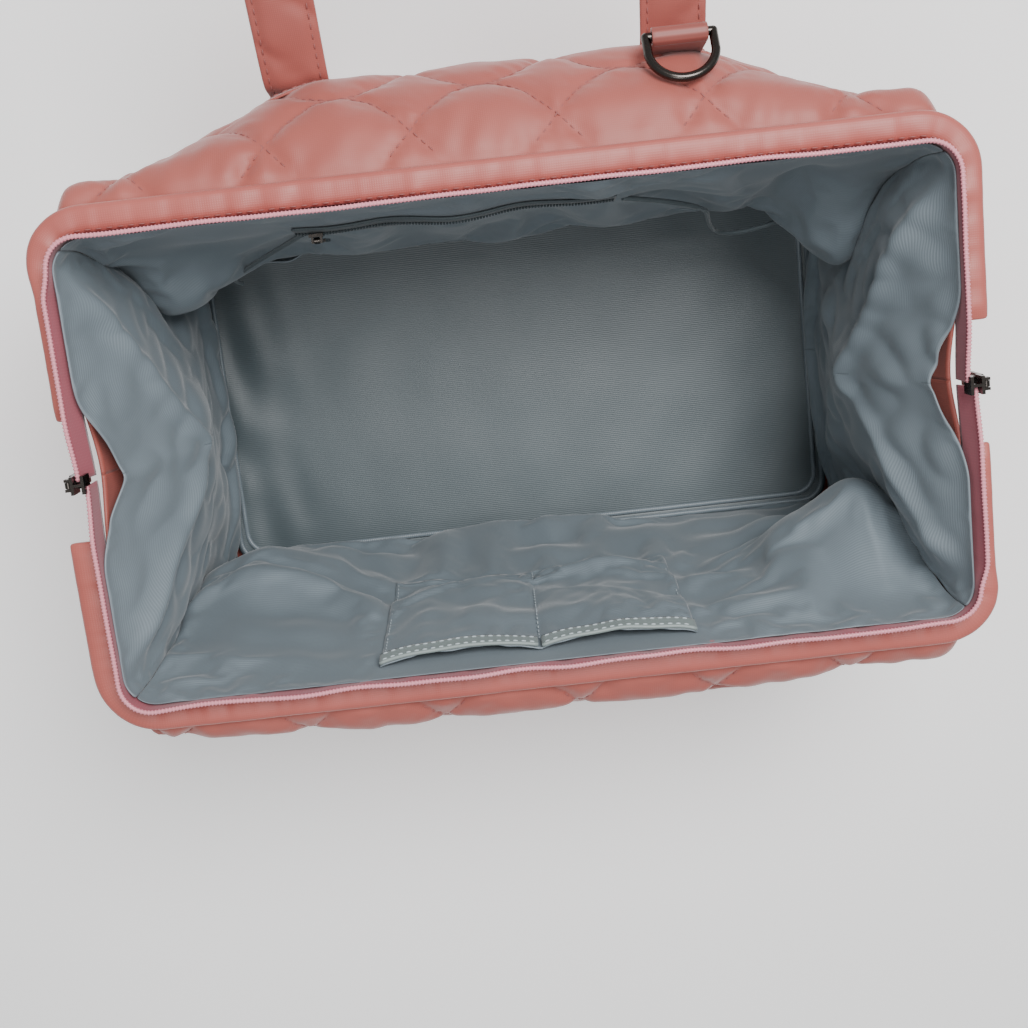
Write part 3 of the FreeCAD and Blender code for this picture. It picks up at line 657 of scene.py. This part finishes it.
for side, word in ((1, "back"), (-1, "front")):
    x, z = np.meshgrid(np.linspace(-WALL_HALF, WALL_HALF, 251), np.linspace(*WALL_Z, 181))
    x, y, height, down, ny, nz = wall_grid(side, x, z)
    skin = grid_piece("quilted_wall_" + word, np.stack([x, side * y, height], axis=-1))
    thicken(skin, 1.6)
    finish_sheet(skin, quilted_nylon, "wall_" + word)
    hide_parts("outer_" + word)
    lines = []
    columns = np.linspace(-WALL_HALF + 3, WALL_HALF - 3, 236)
    gx, gz = np.meshgrid(columns, np.linspace(*WALL_Z, 181))
    gx, gy, gh, gdown, gny, gnz = wall_grid(side, gx, gz)
    for row in range(WAVE_ROWS):
        middle = FIRST_CROSSING + row * WAVE_PITCH
        for way in (1, -1):
            want = middle + way * WAVE_HEIGHT * np.sin(np.pi * (columns - WAVE_OFFSET[side]) / CROSSING)
            line, outward = [], []
            for k, depth in enumerate(want):
                if 6 < depth < gdown[0, k] - 8:
                    order = gdown[::-1, k]
                    here = [np.interp(depth, order, table[::-1, k]) for table in (gy, gh, gny, gnz)]
                    line.append((columns[k], side * (here[0] + 0.9 * here[2]), here[1] + 0.9 * here[3]))
                    outward.append((0, side * here[2], here[3]))
                elif len(line) > 3:
                    lines.append((np.array(line), np.array(outward)))
                    line, outward = [], []
                else:
                    line, outward = [], []
            if len(line) > 3:
                lines.append((np.array(line), np.array(outward)))
    sewing = thread_dashes("quilting_stitches_" + word, lines)
    finish_sheet(sewing, rose_thread, "wall_" + word)

# A thin piping closes each corner seam between the quilted walls and the ends.

for side, word in ((1, "back"), (-1, "front")):
    for end, near in ((-1, "left"), (1, "right")):
        z = np.linspace(5.0, 246.0, 90)
        rise = (z - WALL_Z[0]) / (WALL_Z[1] - WALL_Z[0])
        y = side * (95.4 + LEAN * rise - 4 * ease((z - 236) / 12))
        line = np.stack([0 * z + end * 191.4, y, z], axis=1)
        line[:, :2] += 0.3 * ripple(z, 0 * z, 30, 66)[:, None]
        welt = tube("corner_piping_%s_%s" % (word, near), line, (0, 1, 0), ellipse(2.3, 2.3, 10))
        finish_sheet(welt, quilted_nylon, "wall_" + word)

# ---- Hems ----
# A smooth nylon sleeve round each spring wire. It puckers where the zip tape is sewn along its inner
# edge, and each end is folded in and stitched across at the middle of the bag's end.

MOUTH_HALF = (200.0, 112.0)
MOUTH_CORNER = 22.0
HEM_TIP = 27.0
HEM_Z = 250.0


def mouth_path(side, inset, tip, z, step=2.0):
    """U round one half of the mouth, from the left tip to the right tip, inset from the wire."""
    hx, hy, r = MOUTH_HALF[0] - inset, MOUTH_HALF[1] - inset, MOUTH_CORNER - inset
    points = [(-hx, tip, z)]
    for a in np.linspace(np.pi, np.pi / 2, 13):
        points.append((-hx + r + r * np.cos(a), hy - r + r * np.sin(a), z))
    for a in np.linspace(np.pi / 2, 0, 13):
        points.append((hx - r + r * np.cos(a), hy - r + r * np.sin(a), z))
    points.append((hx, tip, z))
    return resample(np.array(points) * (1, side, 1), step)


smooth_nylon = woven_nylon("smooth rose nylon", "#b56259", "#a05149", rough=0.46, sheen=0.2, thread=1.0)

for side, word in ((1, "back"), (-1, "front")):
    path = mouth_path(side, 0.0, HEM_TIP, HEM_Z)
    run = np.arange(len(path)) * 2.0
    x, y = path[:, 0], np.abs(path[:, 1])
    leg = ease((106 - y) / 26)
    rolled = np.where(x < 0, 2.6, 1.0) if side > 0 else np.where(x < 0, -1.2, 2.4)
    outer = 5.6 - leg * rolled
    inner = 6.6 - 0.6 * leg
    angle = np.linspace(0, 2 * np.pi, 20, endpoint=False)
    cos, sin = np.cos(angle), np.sin(angle)
    pucker = 1.1 * ripple(run, 0 * run, 13, 71 + side) + 0.6 * ripple(run, 0 * run, 7, 75 + side)
    slump = 0.5 * ripple(run, 0 * run, 60, 79 + side)
    reach = np.where(cos[None, :] * side < 0, outer[:, None], inner[:, None])
    inside = np.clip(cos[None, :] * side, 0, 1)
    across = reach * np.sign(cos)[None, :] * np.abs(cos)[None, :] ** 0.8
    up = 3.5 * np.sign(sin)[None, :] * np.abs(sin)[None, :] ** 0.75
    up = up + (0.35 + 0.65 * inside) * pucker[:, None] * np.clip(sin[None, :] + 0.3, 0, 1) + slump[:, None]
    end = np.minimum(run, run[-1] - run)
    flat = 0.35 + 0.65 * ease(end / 6)
    up = up * flat[:, None]
    hem = tube("hem_sleeve_" + word, path, (0, 0, 1), np.stack([across, up], axis=-1))
    use_modifier(hem, "SUBSURF", levels=1, render_levels=1)
    finish_sheet(hem, smooth_nylon, "frame_" + word)
    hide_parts("hem_" + word)
    tape_side = mouth_path(side, 5.4, HEM_TIP + 2, HEM_Z + 3.6)
    edge = thread_dashes("hem_stitches_" + word, [(tape_side, np.tile((0, 0, 1.0), (len(tape_side), 1)))])
    finish_sheet(edge, rose_thread, "frame_" + word)

# The two U-shaped spring wires inside the sleeves are drawn steel, seen only at the hems' ends.


def metal(name, colour, rough, grain=700.0, strength=0.12):
    material, tree = new_material(name)
    place = add_node(tree, "ShaderNodeTexCoord")
    marks = add_node(tree, "ShaderNodeTexNoise", {"Scale": grain, "Detail": 4.0},
                     {"Vector": place.outputs["Object"]})
    bump = add_node(tree, "ShaderNodeBump", {"Strength": strength, "Distance": 0.0001},
                    {"Height": marks.outputs["Fac"]})
    wear = add_node(tree, "ShaderNodeMapRange", {"To Min": rough - 0.06, "To Max": rough + 0.1},
                    {"Value": marks.outputs["Fac"]})
    shader = add_node(tree, "ShaderNodeBsdfPrincipled", {"Base Color": linear(colour), "Metallic": 1.0},
                      {"Roughness": wear.outputs[0], "Normal": bump.outputs[0]})
    add_node(tree, "ShaderNodeOutputMaterial", None, {0: shader.outputs[0]})
    return material


drawn_steel = metal("drawn spring steel", "#9a9a98", 0.35)
gunmetal = metal("gunmetal plated zinc", "#4a4643", 0.24)
for word in ("back", "front"):
    repaint("frame_wire_" + word, drawn_steel)

# ---- Mouth zip ----
# A woven tape stands up from the hem's inner edge with a nylon coil along its top. It runs down both
# legs of each wire to the slider at the middle of each end, where a small metal stop closes it.

COIL_Z = 263.2
TAPE_INSET = 7.8
ZIP_TIP = 1.2
zip_tape_weave = woven_nylon("rose herringbone zip tape", "#b8626e", "#a2505c", rough=0.62, sheen=0.3,
                             thread=1.3)
coil_turn_nylon = sewing_thread("rose nylon coil turns", "#d98e9a")
zip_coil_nylon = woven_nylon("rose nylon zip coil", "#e09aa6", "#d0858f", rough=0.34, sheen=0.05, thread=1.6)

for side, word in ((1, "back"), (-1, "front")):
    path = mouth_path(side, TAPE_INSET, ZIP_TIP, 0.0)
    x, y = path[:, 0], np.abs(path[:, 1])
    run = np.arange(len(path)) * 2.0
    leg = ease((92 - y) / 14)
    outward = leg * 3.2 * ((x < 0) if side > 0 else (x > 0))
    wander = 0.5 * ripple(run, 0 * run, 45, 81 + side) + 0.8 * ripple(run, 0 * run, 90, 85 + side)
    wander = wander * ease(np.minimum(run, run[-1] - run) / 30)
    drop = -5.0 * ease((30 - y) / 30)
    top = path.copy()
    top[:, 0] += np.sign(x) * outward + wander * leg * 0.3
    top[:, 1] += side * wander * (1 - leg) * np.where(side > 0, 0.5, 1.6)
    top[:, 2] = COIL_Z - 1.0 + drop
    foot = path.copy()
    foot[:, 2] = 246.0 + drop * 0.6
    foot[:, 1] += side * 0.6 * (1 - leg)
    levels = np.linspace(0, 1, 9)[:, None, None]
    belly = np.sin(np.pi * levels) * 0.5 * ripple(run, 0 * run, 12, 89 + side)[None, :, None]
    sheet = foot[None] * (1 - levels) + top[None] * levels + belly * np.array((0.3, 1.0, 0))
    tape = grid_piece("zip_tape_weave_" + word, sheet)
    thicken(tape, 0.9)
    finish_sheet(tape, zip_tape_weave, "frame_" + word)
    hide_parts("zip_tape_" + word)
    core_path = top + (0, 0, 0.9)
    core = tube("zip_coil_core_" + word, core_path, (0, 0, 1), ellipse(0.9, 0.9, 8))
    finish_sheet(core, zip_coil_nylon, "frame_" + word)
    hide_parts("zip_coil_" + word)
    turns = thread_dashes("zip_coil_turns_" + word, [(core_path, np.tile((0, 0, 1.0), (len(path), 1)))],
                          dash=1.25, gap=0.35, width=2.7, rise=1.25)
    finish_sheet(turns, coil_turn_nylon, "frame_" + word)

for word in ("left", "right"):
    repaint("slider_" + word, gunmetal)
    repaint("puller_" + word, gunmetal)
    repaint("zip_stop_" + word, gunmetal)

# ---- Handles ----
# Two padded straps of the wall's nylon, each one loop, folded round a soft core, quilted across in
# slanting lines and edge-stitched. Their ends are sewn to square patches on the walls.

STRAP_X = 86.0
STRAP_STRAIGHT = 95.0
STRAP_WIDTH = 30.0
HANDLES = {1: (166.712, 30.0), -1: (142.231, -80.0)}
HANDLE_Z = 200.0
SLANT_PITCH = 38.0
EDGE_SEAM = 11.6
PATCH_HALF = 17
PATCH_Z = (162, 204)
strap_nylon = woven_nylon("dark rose strap nylon", "#ab5e55", "#984c44", rough=0.55, sheen=0.3)


def strap_line(side):
    """Middle line of a strap: up the wall from its seam, out over the fold, round the loop and back.

    Also gives the direction across the strap at each step.
    """
    axis_y, elevation = HANDLES[side]
    turn = math.radians(elevation)
    flat = [(-STRAP_X, 16.0), (-STRAP_X, STRAP_STRAIGHT)]
    flat += [(STRAP_X * math.cos(a), STRAP_STRAIGHT + STRAP_X * math.sin(a))
             for a in np.linspace(np.pi, 0, 33)]
    flat += [(STRAP_X, 16.0)]
    loop = [(x, axis_y + t * math.cos(turn), HANDLE_Z + t * math.sin(turn)) for x, t in flat]
    foot = [(STRAP_X, float(wall_profile(side, STRAP_X, z)) + 4.2, z) for z in (166.0, 176.0, 186.0)]
    if elevation > 0:
        foot += [(STRAP_X, axis_y - 4.5, 196.0), (STRAP_X, axis_y + 5.0, 202.5)]
    else:
        foot += [(STRAP_X, axis_y - 3.6, 197.0), (STRAP_X, axis_y - 1.5, 202.0),
                 (STRAP_X, axis_y + 1.8, 200.0), (STRAP_X, axis_y + 2.6, 192.0)]
    left = [(-x, y, z) for x, y, z in foot]
    line = resample(left + loop + foot[::-1], 2.5)
    for _ in range(4):
        line[1:-1] = (line[:-2] + 2 * line[1:-1] + line[2:]) / 4
    along = np.gradient(line, axis=0)
    along /= np.linalg.norm(along, axis=1)[:, None]
    reach = (line[:, 1] - axis_y) * math.cos(turn) + (line[:, 2] - HANDLE_Z) * math.sin(turn)
    centre = np.stack([0 * reach, axis_y + STRAP_STRAIGHT * math.cos(turn) + 0 * reach,
                       HANDLE_Z + STRAP_STRAIGHT * math.sin(turn) + 0 * reach], axis=1)
    spoke = line - centre
    level = np.stack([-np.sign(line[:, 0]), 0 * reach, 0 * reach], axis=1)
    arch = (reach > STRAP_STRAIGHT)[:, None]
    across = np.where(arch, -spoke / np.linalg.norm(spoke, axis=1)[:, None], level)
    across -= along * np.sum(across * along, axis=1)[:, None]
    across /= np.linalg.norm(across, axis=1)[:, None]
    return line * (1, side, 1), across * (1, side, 1), along * (1, side, 1)


for side, word in ((1, "back"), (-1, "front")):
    path, across, along = strap_line(side)
    normal = np.cross(across, along)
    run = np.arange(len(path)) * 2.5
    angle = np.linspace(0, 2 * np.pi, 28, endpoint=False)
    w = np.sign(np.cos(angle)) * np.abs(np.cos(angle)) ** 0.62 * STRAP_WIDTH / 2
    thick = np.sign(np.sin(angle)) * np.abs(np.sin(angle)) ** 0.8
    slant = (run[:, None] + w[None, :] * np.where(run[:, None] > run[-1] / 2, -1, 1)) / SLANT_PITCH
    channel = 1 - 0.55 * np.exp(-(((slant + 0.5) % 1 - 0.5) * SLANT_PITCH / 3.0) ** 2)
    border = 1 - 0.45 * np.exp(-((np.abs(w) - EDGE_SEAM) / 1.5) ** 2)[None, :]
    end = np.minimum(run, run[-1] - run)
    body = 0.35 + 0.35 * ease(end / 25) + 0.30 * ease((end - 40) / 20)
    lift = 3.4 * thick[None, :] * channel * border * body[:, None]
    rings = path[:, None] + across[:, None] * w[None, :, None] + normal[:, None] * lift[..., None]
    rings = np.concatenate([rings, rings[:, :1]], axis=1)
    caps = [np.repeat(ring.mean(axis=0)[None, None], rings.shape[1], axis=1)
            for ring in (rings[0], rings[-1])]
    strap = grid_piece("handle_strap_" + word, np.concatenate([caps[0], rings, caps[1]]), True)
    use_modifier(strap, "SUBSURF", levels=1, render_levels=1)
    lines = []
    for face in (1, -1):
        for offset in (-EDGE_SEAM, EDGE_SEAM):
            level = face * (1.9 * body + 0.1)[:, None]
            lines.append((path + across * offset + normal * level, normal * face))
    edge = thread_dashes("handle_stitches_" + word, lines)
    for piece, material in ((strap, strap_nylon), (edge, rose_thread)):
        piece.data.materials.append(material)
        piece.data.shade_smooth()
        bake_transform(piece)
    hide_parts("handle_" + word)

    sewn = []
    for centre in (-STRAP_X, STRAP_X):
        x, z = np.meshgrid(np.linspace(centre - PATCH_HALF, centre + PATCH_HALF, 25),
                           np.linspace(*PATCH_Z, 31))
        y = wall_profile(side, x, z)
        rim = np.minimum(np.minimum(x - centre + PATCH_HALF, centre + PATCH_HALF - x),
                         np.minimum(z - PATCH_Z[0], PATCH_Z[1] - z))
        y = y + 1.2 + 1.5 * ease(rim / 5) - 0.8 * np.exp(-((rim - 4.5) / 1.2) ** 2)
        patch = grid_piece("handle_patch_%s_%s" % (word, "left" if centre < 0 else "right"),
                           np.stack([x, side * y, z], axis=-1))
        thicken(patch, 1.0)
        finish_sheet(patch, strap_nylon, "wall_" + word)
        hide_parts("handle_patches_" + word)
        left, right, low, high = centre - 12.5, centre + 12.5, PATCH_Z[0] + 4.5, PATCH_Z[1] - 4.5
        box = np.array([(left, low), (right, low), (right, high), (left, high), (left, low), (right, high)])
        flat = resample(np.column_stack([box, 0 * box[:, 0]]), 2.0)
        y = wall_profile(side, flat[:, 0], flat[:, 1]) + 2.9
        sewn.append((np.stack([flat[:, 0], side * y, flat[:, 1]], axis=1),
                     np.tile((0, float(side), 0), (len(y), 1))))
    cross = thread_dashes("patch_stitches_" + word, sewn)
    finish_sheet(cross, rose_thread, "wall_" + word)

# ---- Rings for the shoulder strap ----
# A gunmetal D ring hangs in a folded tab of ribbed webbing, 24 mm wide, sewn flat to each wall.

# For each ring: the axis (x, y, z), the slope of its tab in degrees and the tab's length.
RINGS = {1: (84.0, 161.0, 232.0, -96.0, 22.0), -1: (-128.0, -133.531, 200.0, 92.0, 16.0)}
WEBBING_WIDTH = 24.0
webbing = ribbed_satin("rose ribbed satin webbing", "#97524a", "#82443e", rib=1.8, rough=0.5)

for side, word in ((1, "back"), (-1, "front")):
    cx, cy, cz, slope, length = RINGS[side]
    reach = 3.2
    outline = [(length, -3.1)]
    outline += [(s, -3.2) for s in np.linspace(length - 3, 4, 6)]
    outline += [(reach * np.sin(a), -reach * np.cos(a)) for a in np.linspace(0.35, -np.pi - 0.2, 22)]
    outline += [(s, -0.4 - 1.0 * np.exp(-(s - 2) / 3)) for s in np.linspace(5, length, 7)]
    outline = np.array(outline)
    turn = math.radians(slope)
    y = cy + outline[:, 0] * math.cos(turn) - outline[:, 1] * math.sin(turn)
    z = cz + outline[:, 0] * math.sin(turn) + outline[:, 1] * math.cos(turn)
    across = np.linspace(-WEBBING_WIDTH / 2, WEBBING_WIDTH / 2, 13)
    strip = np.stack([np.repeat((cx + across)[None], len(y), axis=0),
                      np.repeat(y[:, None], 13, axis=1), np.repeat(z[:, None], 13, axis=1)], axis=-1)
    tab = grid_piece("ring_webbing_" + word, strip)
    thicken(tab, 1.4)
    use_modifier(tab, "BEVEL", width=0.0003, segments=2)
    finish_sheet(tab, webbing, "wall_" + word)
    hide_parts("ring_tab_" + word)
    repaint("d_ring_" + word, gunmetal)

# ---- Pockets on the front lining ----
# Two slip pockets in one satin sheet, parted by a sewn divider, with ribbed webbing over their mouths.

grey_webbing = ribbed_satin("grey ribbed webbing", "#8f9a9b", "#78847f", rib=1.6, rough=0.5)
POCKET_X = (-78.0, -4.0, 68.0)
x, z = np.meshgrid(np.linspace(POCKET_X[0], POCKET_X[2], 93), np.linspace(120, 244, 61))
share = np.where(x < POCKET_X[1], (x - POCKET_X[0]) / 74, (x - POCKET_X[1]) / 72)
belly = np.sin(np.pi * np.clip(share, 0, 1)) ** 0.7 * ease((z - 122) / 22)
stand = 1.2 + 5.0 * belly + (0.9 * ripple(x, z, 30, 91) + 0.5 * ripple(x, z, 14, 93)) * belly
pocket = grid_piece("front_pocket_cloth", np.stack([x, lining_face(-1, x, z) + stand, z], axis=-1))
crumple(pocket, edge_rows(61, 93), (0, -1, 0), grow=0.05, cap=4.0)
thicken(pocket, 0.7)
finish_sheet(pocket, satin, "wall_front")
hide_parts("pocket_front")
lines = []
for k in range(2):
    x = np.linspace(POCKET_X[k] + (1 if k else 0), POCKET_X[k + 1] - (0 if k else 1), 41)
    levels = np.linspace(235.5, 244.5, 7)
    gx, gz = np.meshgrid(x, levels)
    share = (gx - POCKET_X[k]) / (POCKET_X[k + 1] - POCKET_X[k])
    gy = -lining_face(-1, gx, gz) - 3.0 - 4.0 * np.sin(np.pi * np.clip(share, 0, 1)) ** 0.7
    gy = gy + 0.5 * ripple(gx, gz, 25, 95 + k)
    binding = grid_piece("pocket_binding_%s" % ("left", "right")[k], np.stack([gx, -gy, gz], axis=-1))
    thicken(binding, 1.5)
    finish_sheet(binding, grey_webbing, "wall_front")
    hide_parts("pocket_bindings_front")
    for row in (1, 5):
        lines.append((np.stack([gx[row], -gy[row] + 0.9, gz[row]], axis=1), np.tile((0, 1.0, 0), (41, 1))))
upright = np.linspace(123, 234, 40)
for edge_x in (POCKET_X[0] + 1.5, POCKET_X[1], POCKET_X[2] - 1.5):
    lines.append((np.stack([0 * upright + edge_x, lining_face(-1, edge_x, upright) + 2.0, upright], axis=1),
                  np.tile((0, 1.0, 0), (40, 1))))
binding_thread = thread_dashes("pocket_stitches", lines, dash=2.4, gap=1.4, width=0.6)
finish_sheet(binding_thread, grey_thread, "wall_front")

# ---- Slack pockets on the back lining ----
# Two loose satin pockets low on the wall, each gathered along its mouth by a round elastic cord.

ELASTICS = {
    "right": ((56, 96, 205), (98, 90, 178), (104, 80, 140), (112, 74, 118), (132, 74, 113), (146, 78, 120)),
    "left": ((-92, 96, 200), (-112, 90, 165), (-136, 82, 128), (-144, 78, 114), (-140, 76, 106)),
}
elastic_cover = ribbed_satin("grey covered elastic", "#5b666a", "#4a5458", rib=1.0, rough=0.65)
for word, route in ELASTICS.items():
    curve = bpy.data.curves.new("elastic_cord_" + word, "CURVE")
    curve.dimensions = "3D"
    curve.bevel_depth = 0.0012
    curve.bevel_resolution = 3
    curve.use_fill_caps = True
    curve.resolution_u = 16
    spline = curve.splines.new("NURBS")
    spline.points.add(len(route) - 1)
    for k, point in enumerate(route):
        spline.points[k].co = (point[0] * 0.001, point[1] * 0.001, point[2] * 0.001, 1.0)
    spline.order_u = 3
    spline.use_endpoint_u = True
    cord = bpy.data.objects.new("elastic_cord_" + word, curve)
    bpy.context.collection.objects.link(cord)
    cord.data.materials.append(elastic_cover)
    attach(cord, "wall_back")
    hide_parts("elastic_" + word)
    run = np.array(route, dtype=float)
    length = np.linalg.norm(np.diff(run, axis=0), axis=1).sum() * 0.001 * 0.96

for word, (low, high), wide in (("right", (52.0, 148.0), 97), ("left", (-148.0, -96.0), 53)):
    x, z = np.meshgrid(np.linspace(low, high, wide), np.linspace(20, 110, 61))
    share = (x - low) / (high - low)
    up = (z - 20) / 90
    belly = np.sin(np.pi * share) ** 0.6 * ease(up * 1.6)
    y = lining_face(1, x, z) - 1.5 - 5 * belly
    y = y - (1.2 * ripple(x, z, 22, 97) + 0.8 * np.sin(x / 3.1) * ease(up * 3 - 2)) * belly
    slack = grid_piece("slack_pocket_" + word, np.stack([x, y, z], axis=-1))
    thicken(slack, 0.7)
    finish_sheet(slack, satin, "wall_back")
    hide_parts("pocket_back_" + word)

# ---- Inner zip pocket ----
# A dark woven tape with a fine coil is sewn level into the back lining, its slider at the left end.

INNER_ZIP_X = (-94, 52)
INNER_ZIP_Z = 214.0
slate_tape = woven_nylon("slate zip tape", "#4d575b", "#3e474b", rough=0.6, sheen=0.2, thread=1.2)
x, z = np.meshgrid(np.linspace(*INNER_ZIP_X, 99), np.linspace(INNER_ZIP_Z - 7.5, INNER_ZIP_Z + 7.5, 9))
y = lining_face(1, x, z) - 1.3 + 0.15 * ripple(x, z, 24, 99)
tape = grid_piece("inner_zip_weave", np.stack([x, y, z], axis=-1))
thicken(tape, 0.9)
finish_sheet(tape, slate_tape, "wall_back")
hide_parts("inner_zip_tape")
along = np.linspace(*INNER_ZIP_X, 74)
path = np.stack([along, lining_face(1, along, INNER_ZIP_Z) - 2.2, np.full(74, INNER_ZIP_Z)], axis=1)
turns = thread_dashes("inner_zip_turns", [(path, np.tile((0, -1.0, 0), (74, 1)))],
                      dash=1.1, gap=0.3, width=3.8, rise=0.7)
finish_sheet(turns, sewing_thread("slate nylon zip coil", "#3a4347"), "wall_back")
repaint("inner_zip_slider", gunmetal)
repaint("inner_zip_puller", gunmetal)

# ---- Studio ----
# A wide sheet of white paper, one soft disc light high behind the bag and a fainter one in front.

bpy.ops.object.select_all(action="DESELECT")
bpy.ops.mesh.primitive_plane_add(size=60.0, location=(0, 0, 0))
ground = bpy.context.object
ground.name = "studio_floor"
paper, tree = new_material("white backdrop paper")
shader = add_node(tree, "ShaderNodeBsdfPrincipled",
                  {"Base Color": (0.9, 0.9, 0.9, 1.0), "Roughness": 0.9,
                   "Emission Color": (1.0, 1.0, 1.0, 1.0), "Emission Strength": 0.3})
add_node(tree, "ShaderNodeOutputMaterial", None, {0: shader.outputs[0]})
ground.data.materials.append(paper)


def soft_light(name, place, aim, size, watts):
    lamp = bpy.data.lights.new(name, "AREA")
    lamp.shape = "DISK"
    lamp.size = size
    lamp.energy = watts
    holder = bpy.data.objects.new(name, lamp)
    bpy.context.collection.objects.link(holder)
    holder.location = place
    holder.rotation_euler = (Vector(aim) - Vector(place)).to_track_quat("-Z", "Y").to_euler()


soft_light("back_key", (0.3, 0.5, 1.4), (0, -0.05, 0.1), 0.7, 25)
soft_light("overhead", (-0.15, -0.3, 1.5), (-0.05, -0.05, 0), 0.5, 4)

world = bpy.data.worlds.new("studio")
bpy.context.scene.world = world
world.use_nodes = True
world.node_tree.nodes["Background"].inputs[0].default_value = (1.0, 1.0, 1.0, 1.0)
world.node_tree.nodes["Background"].inputs[1].default_value = 0.45
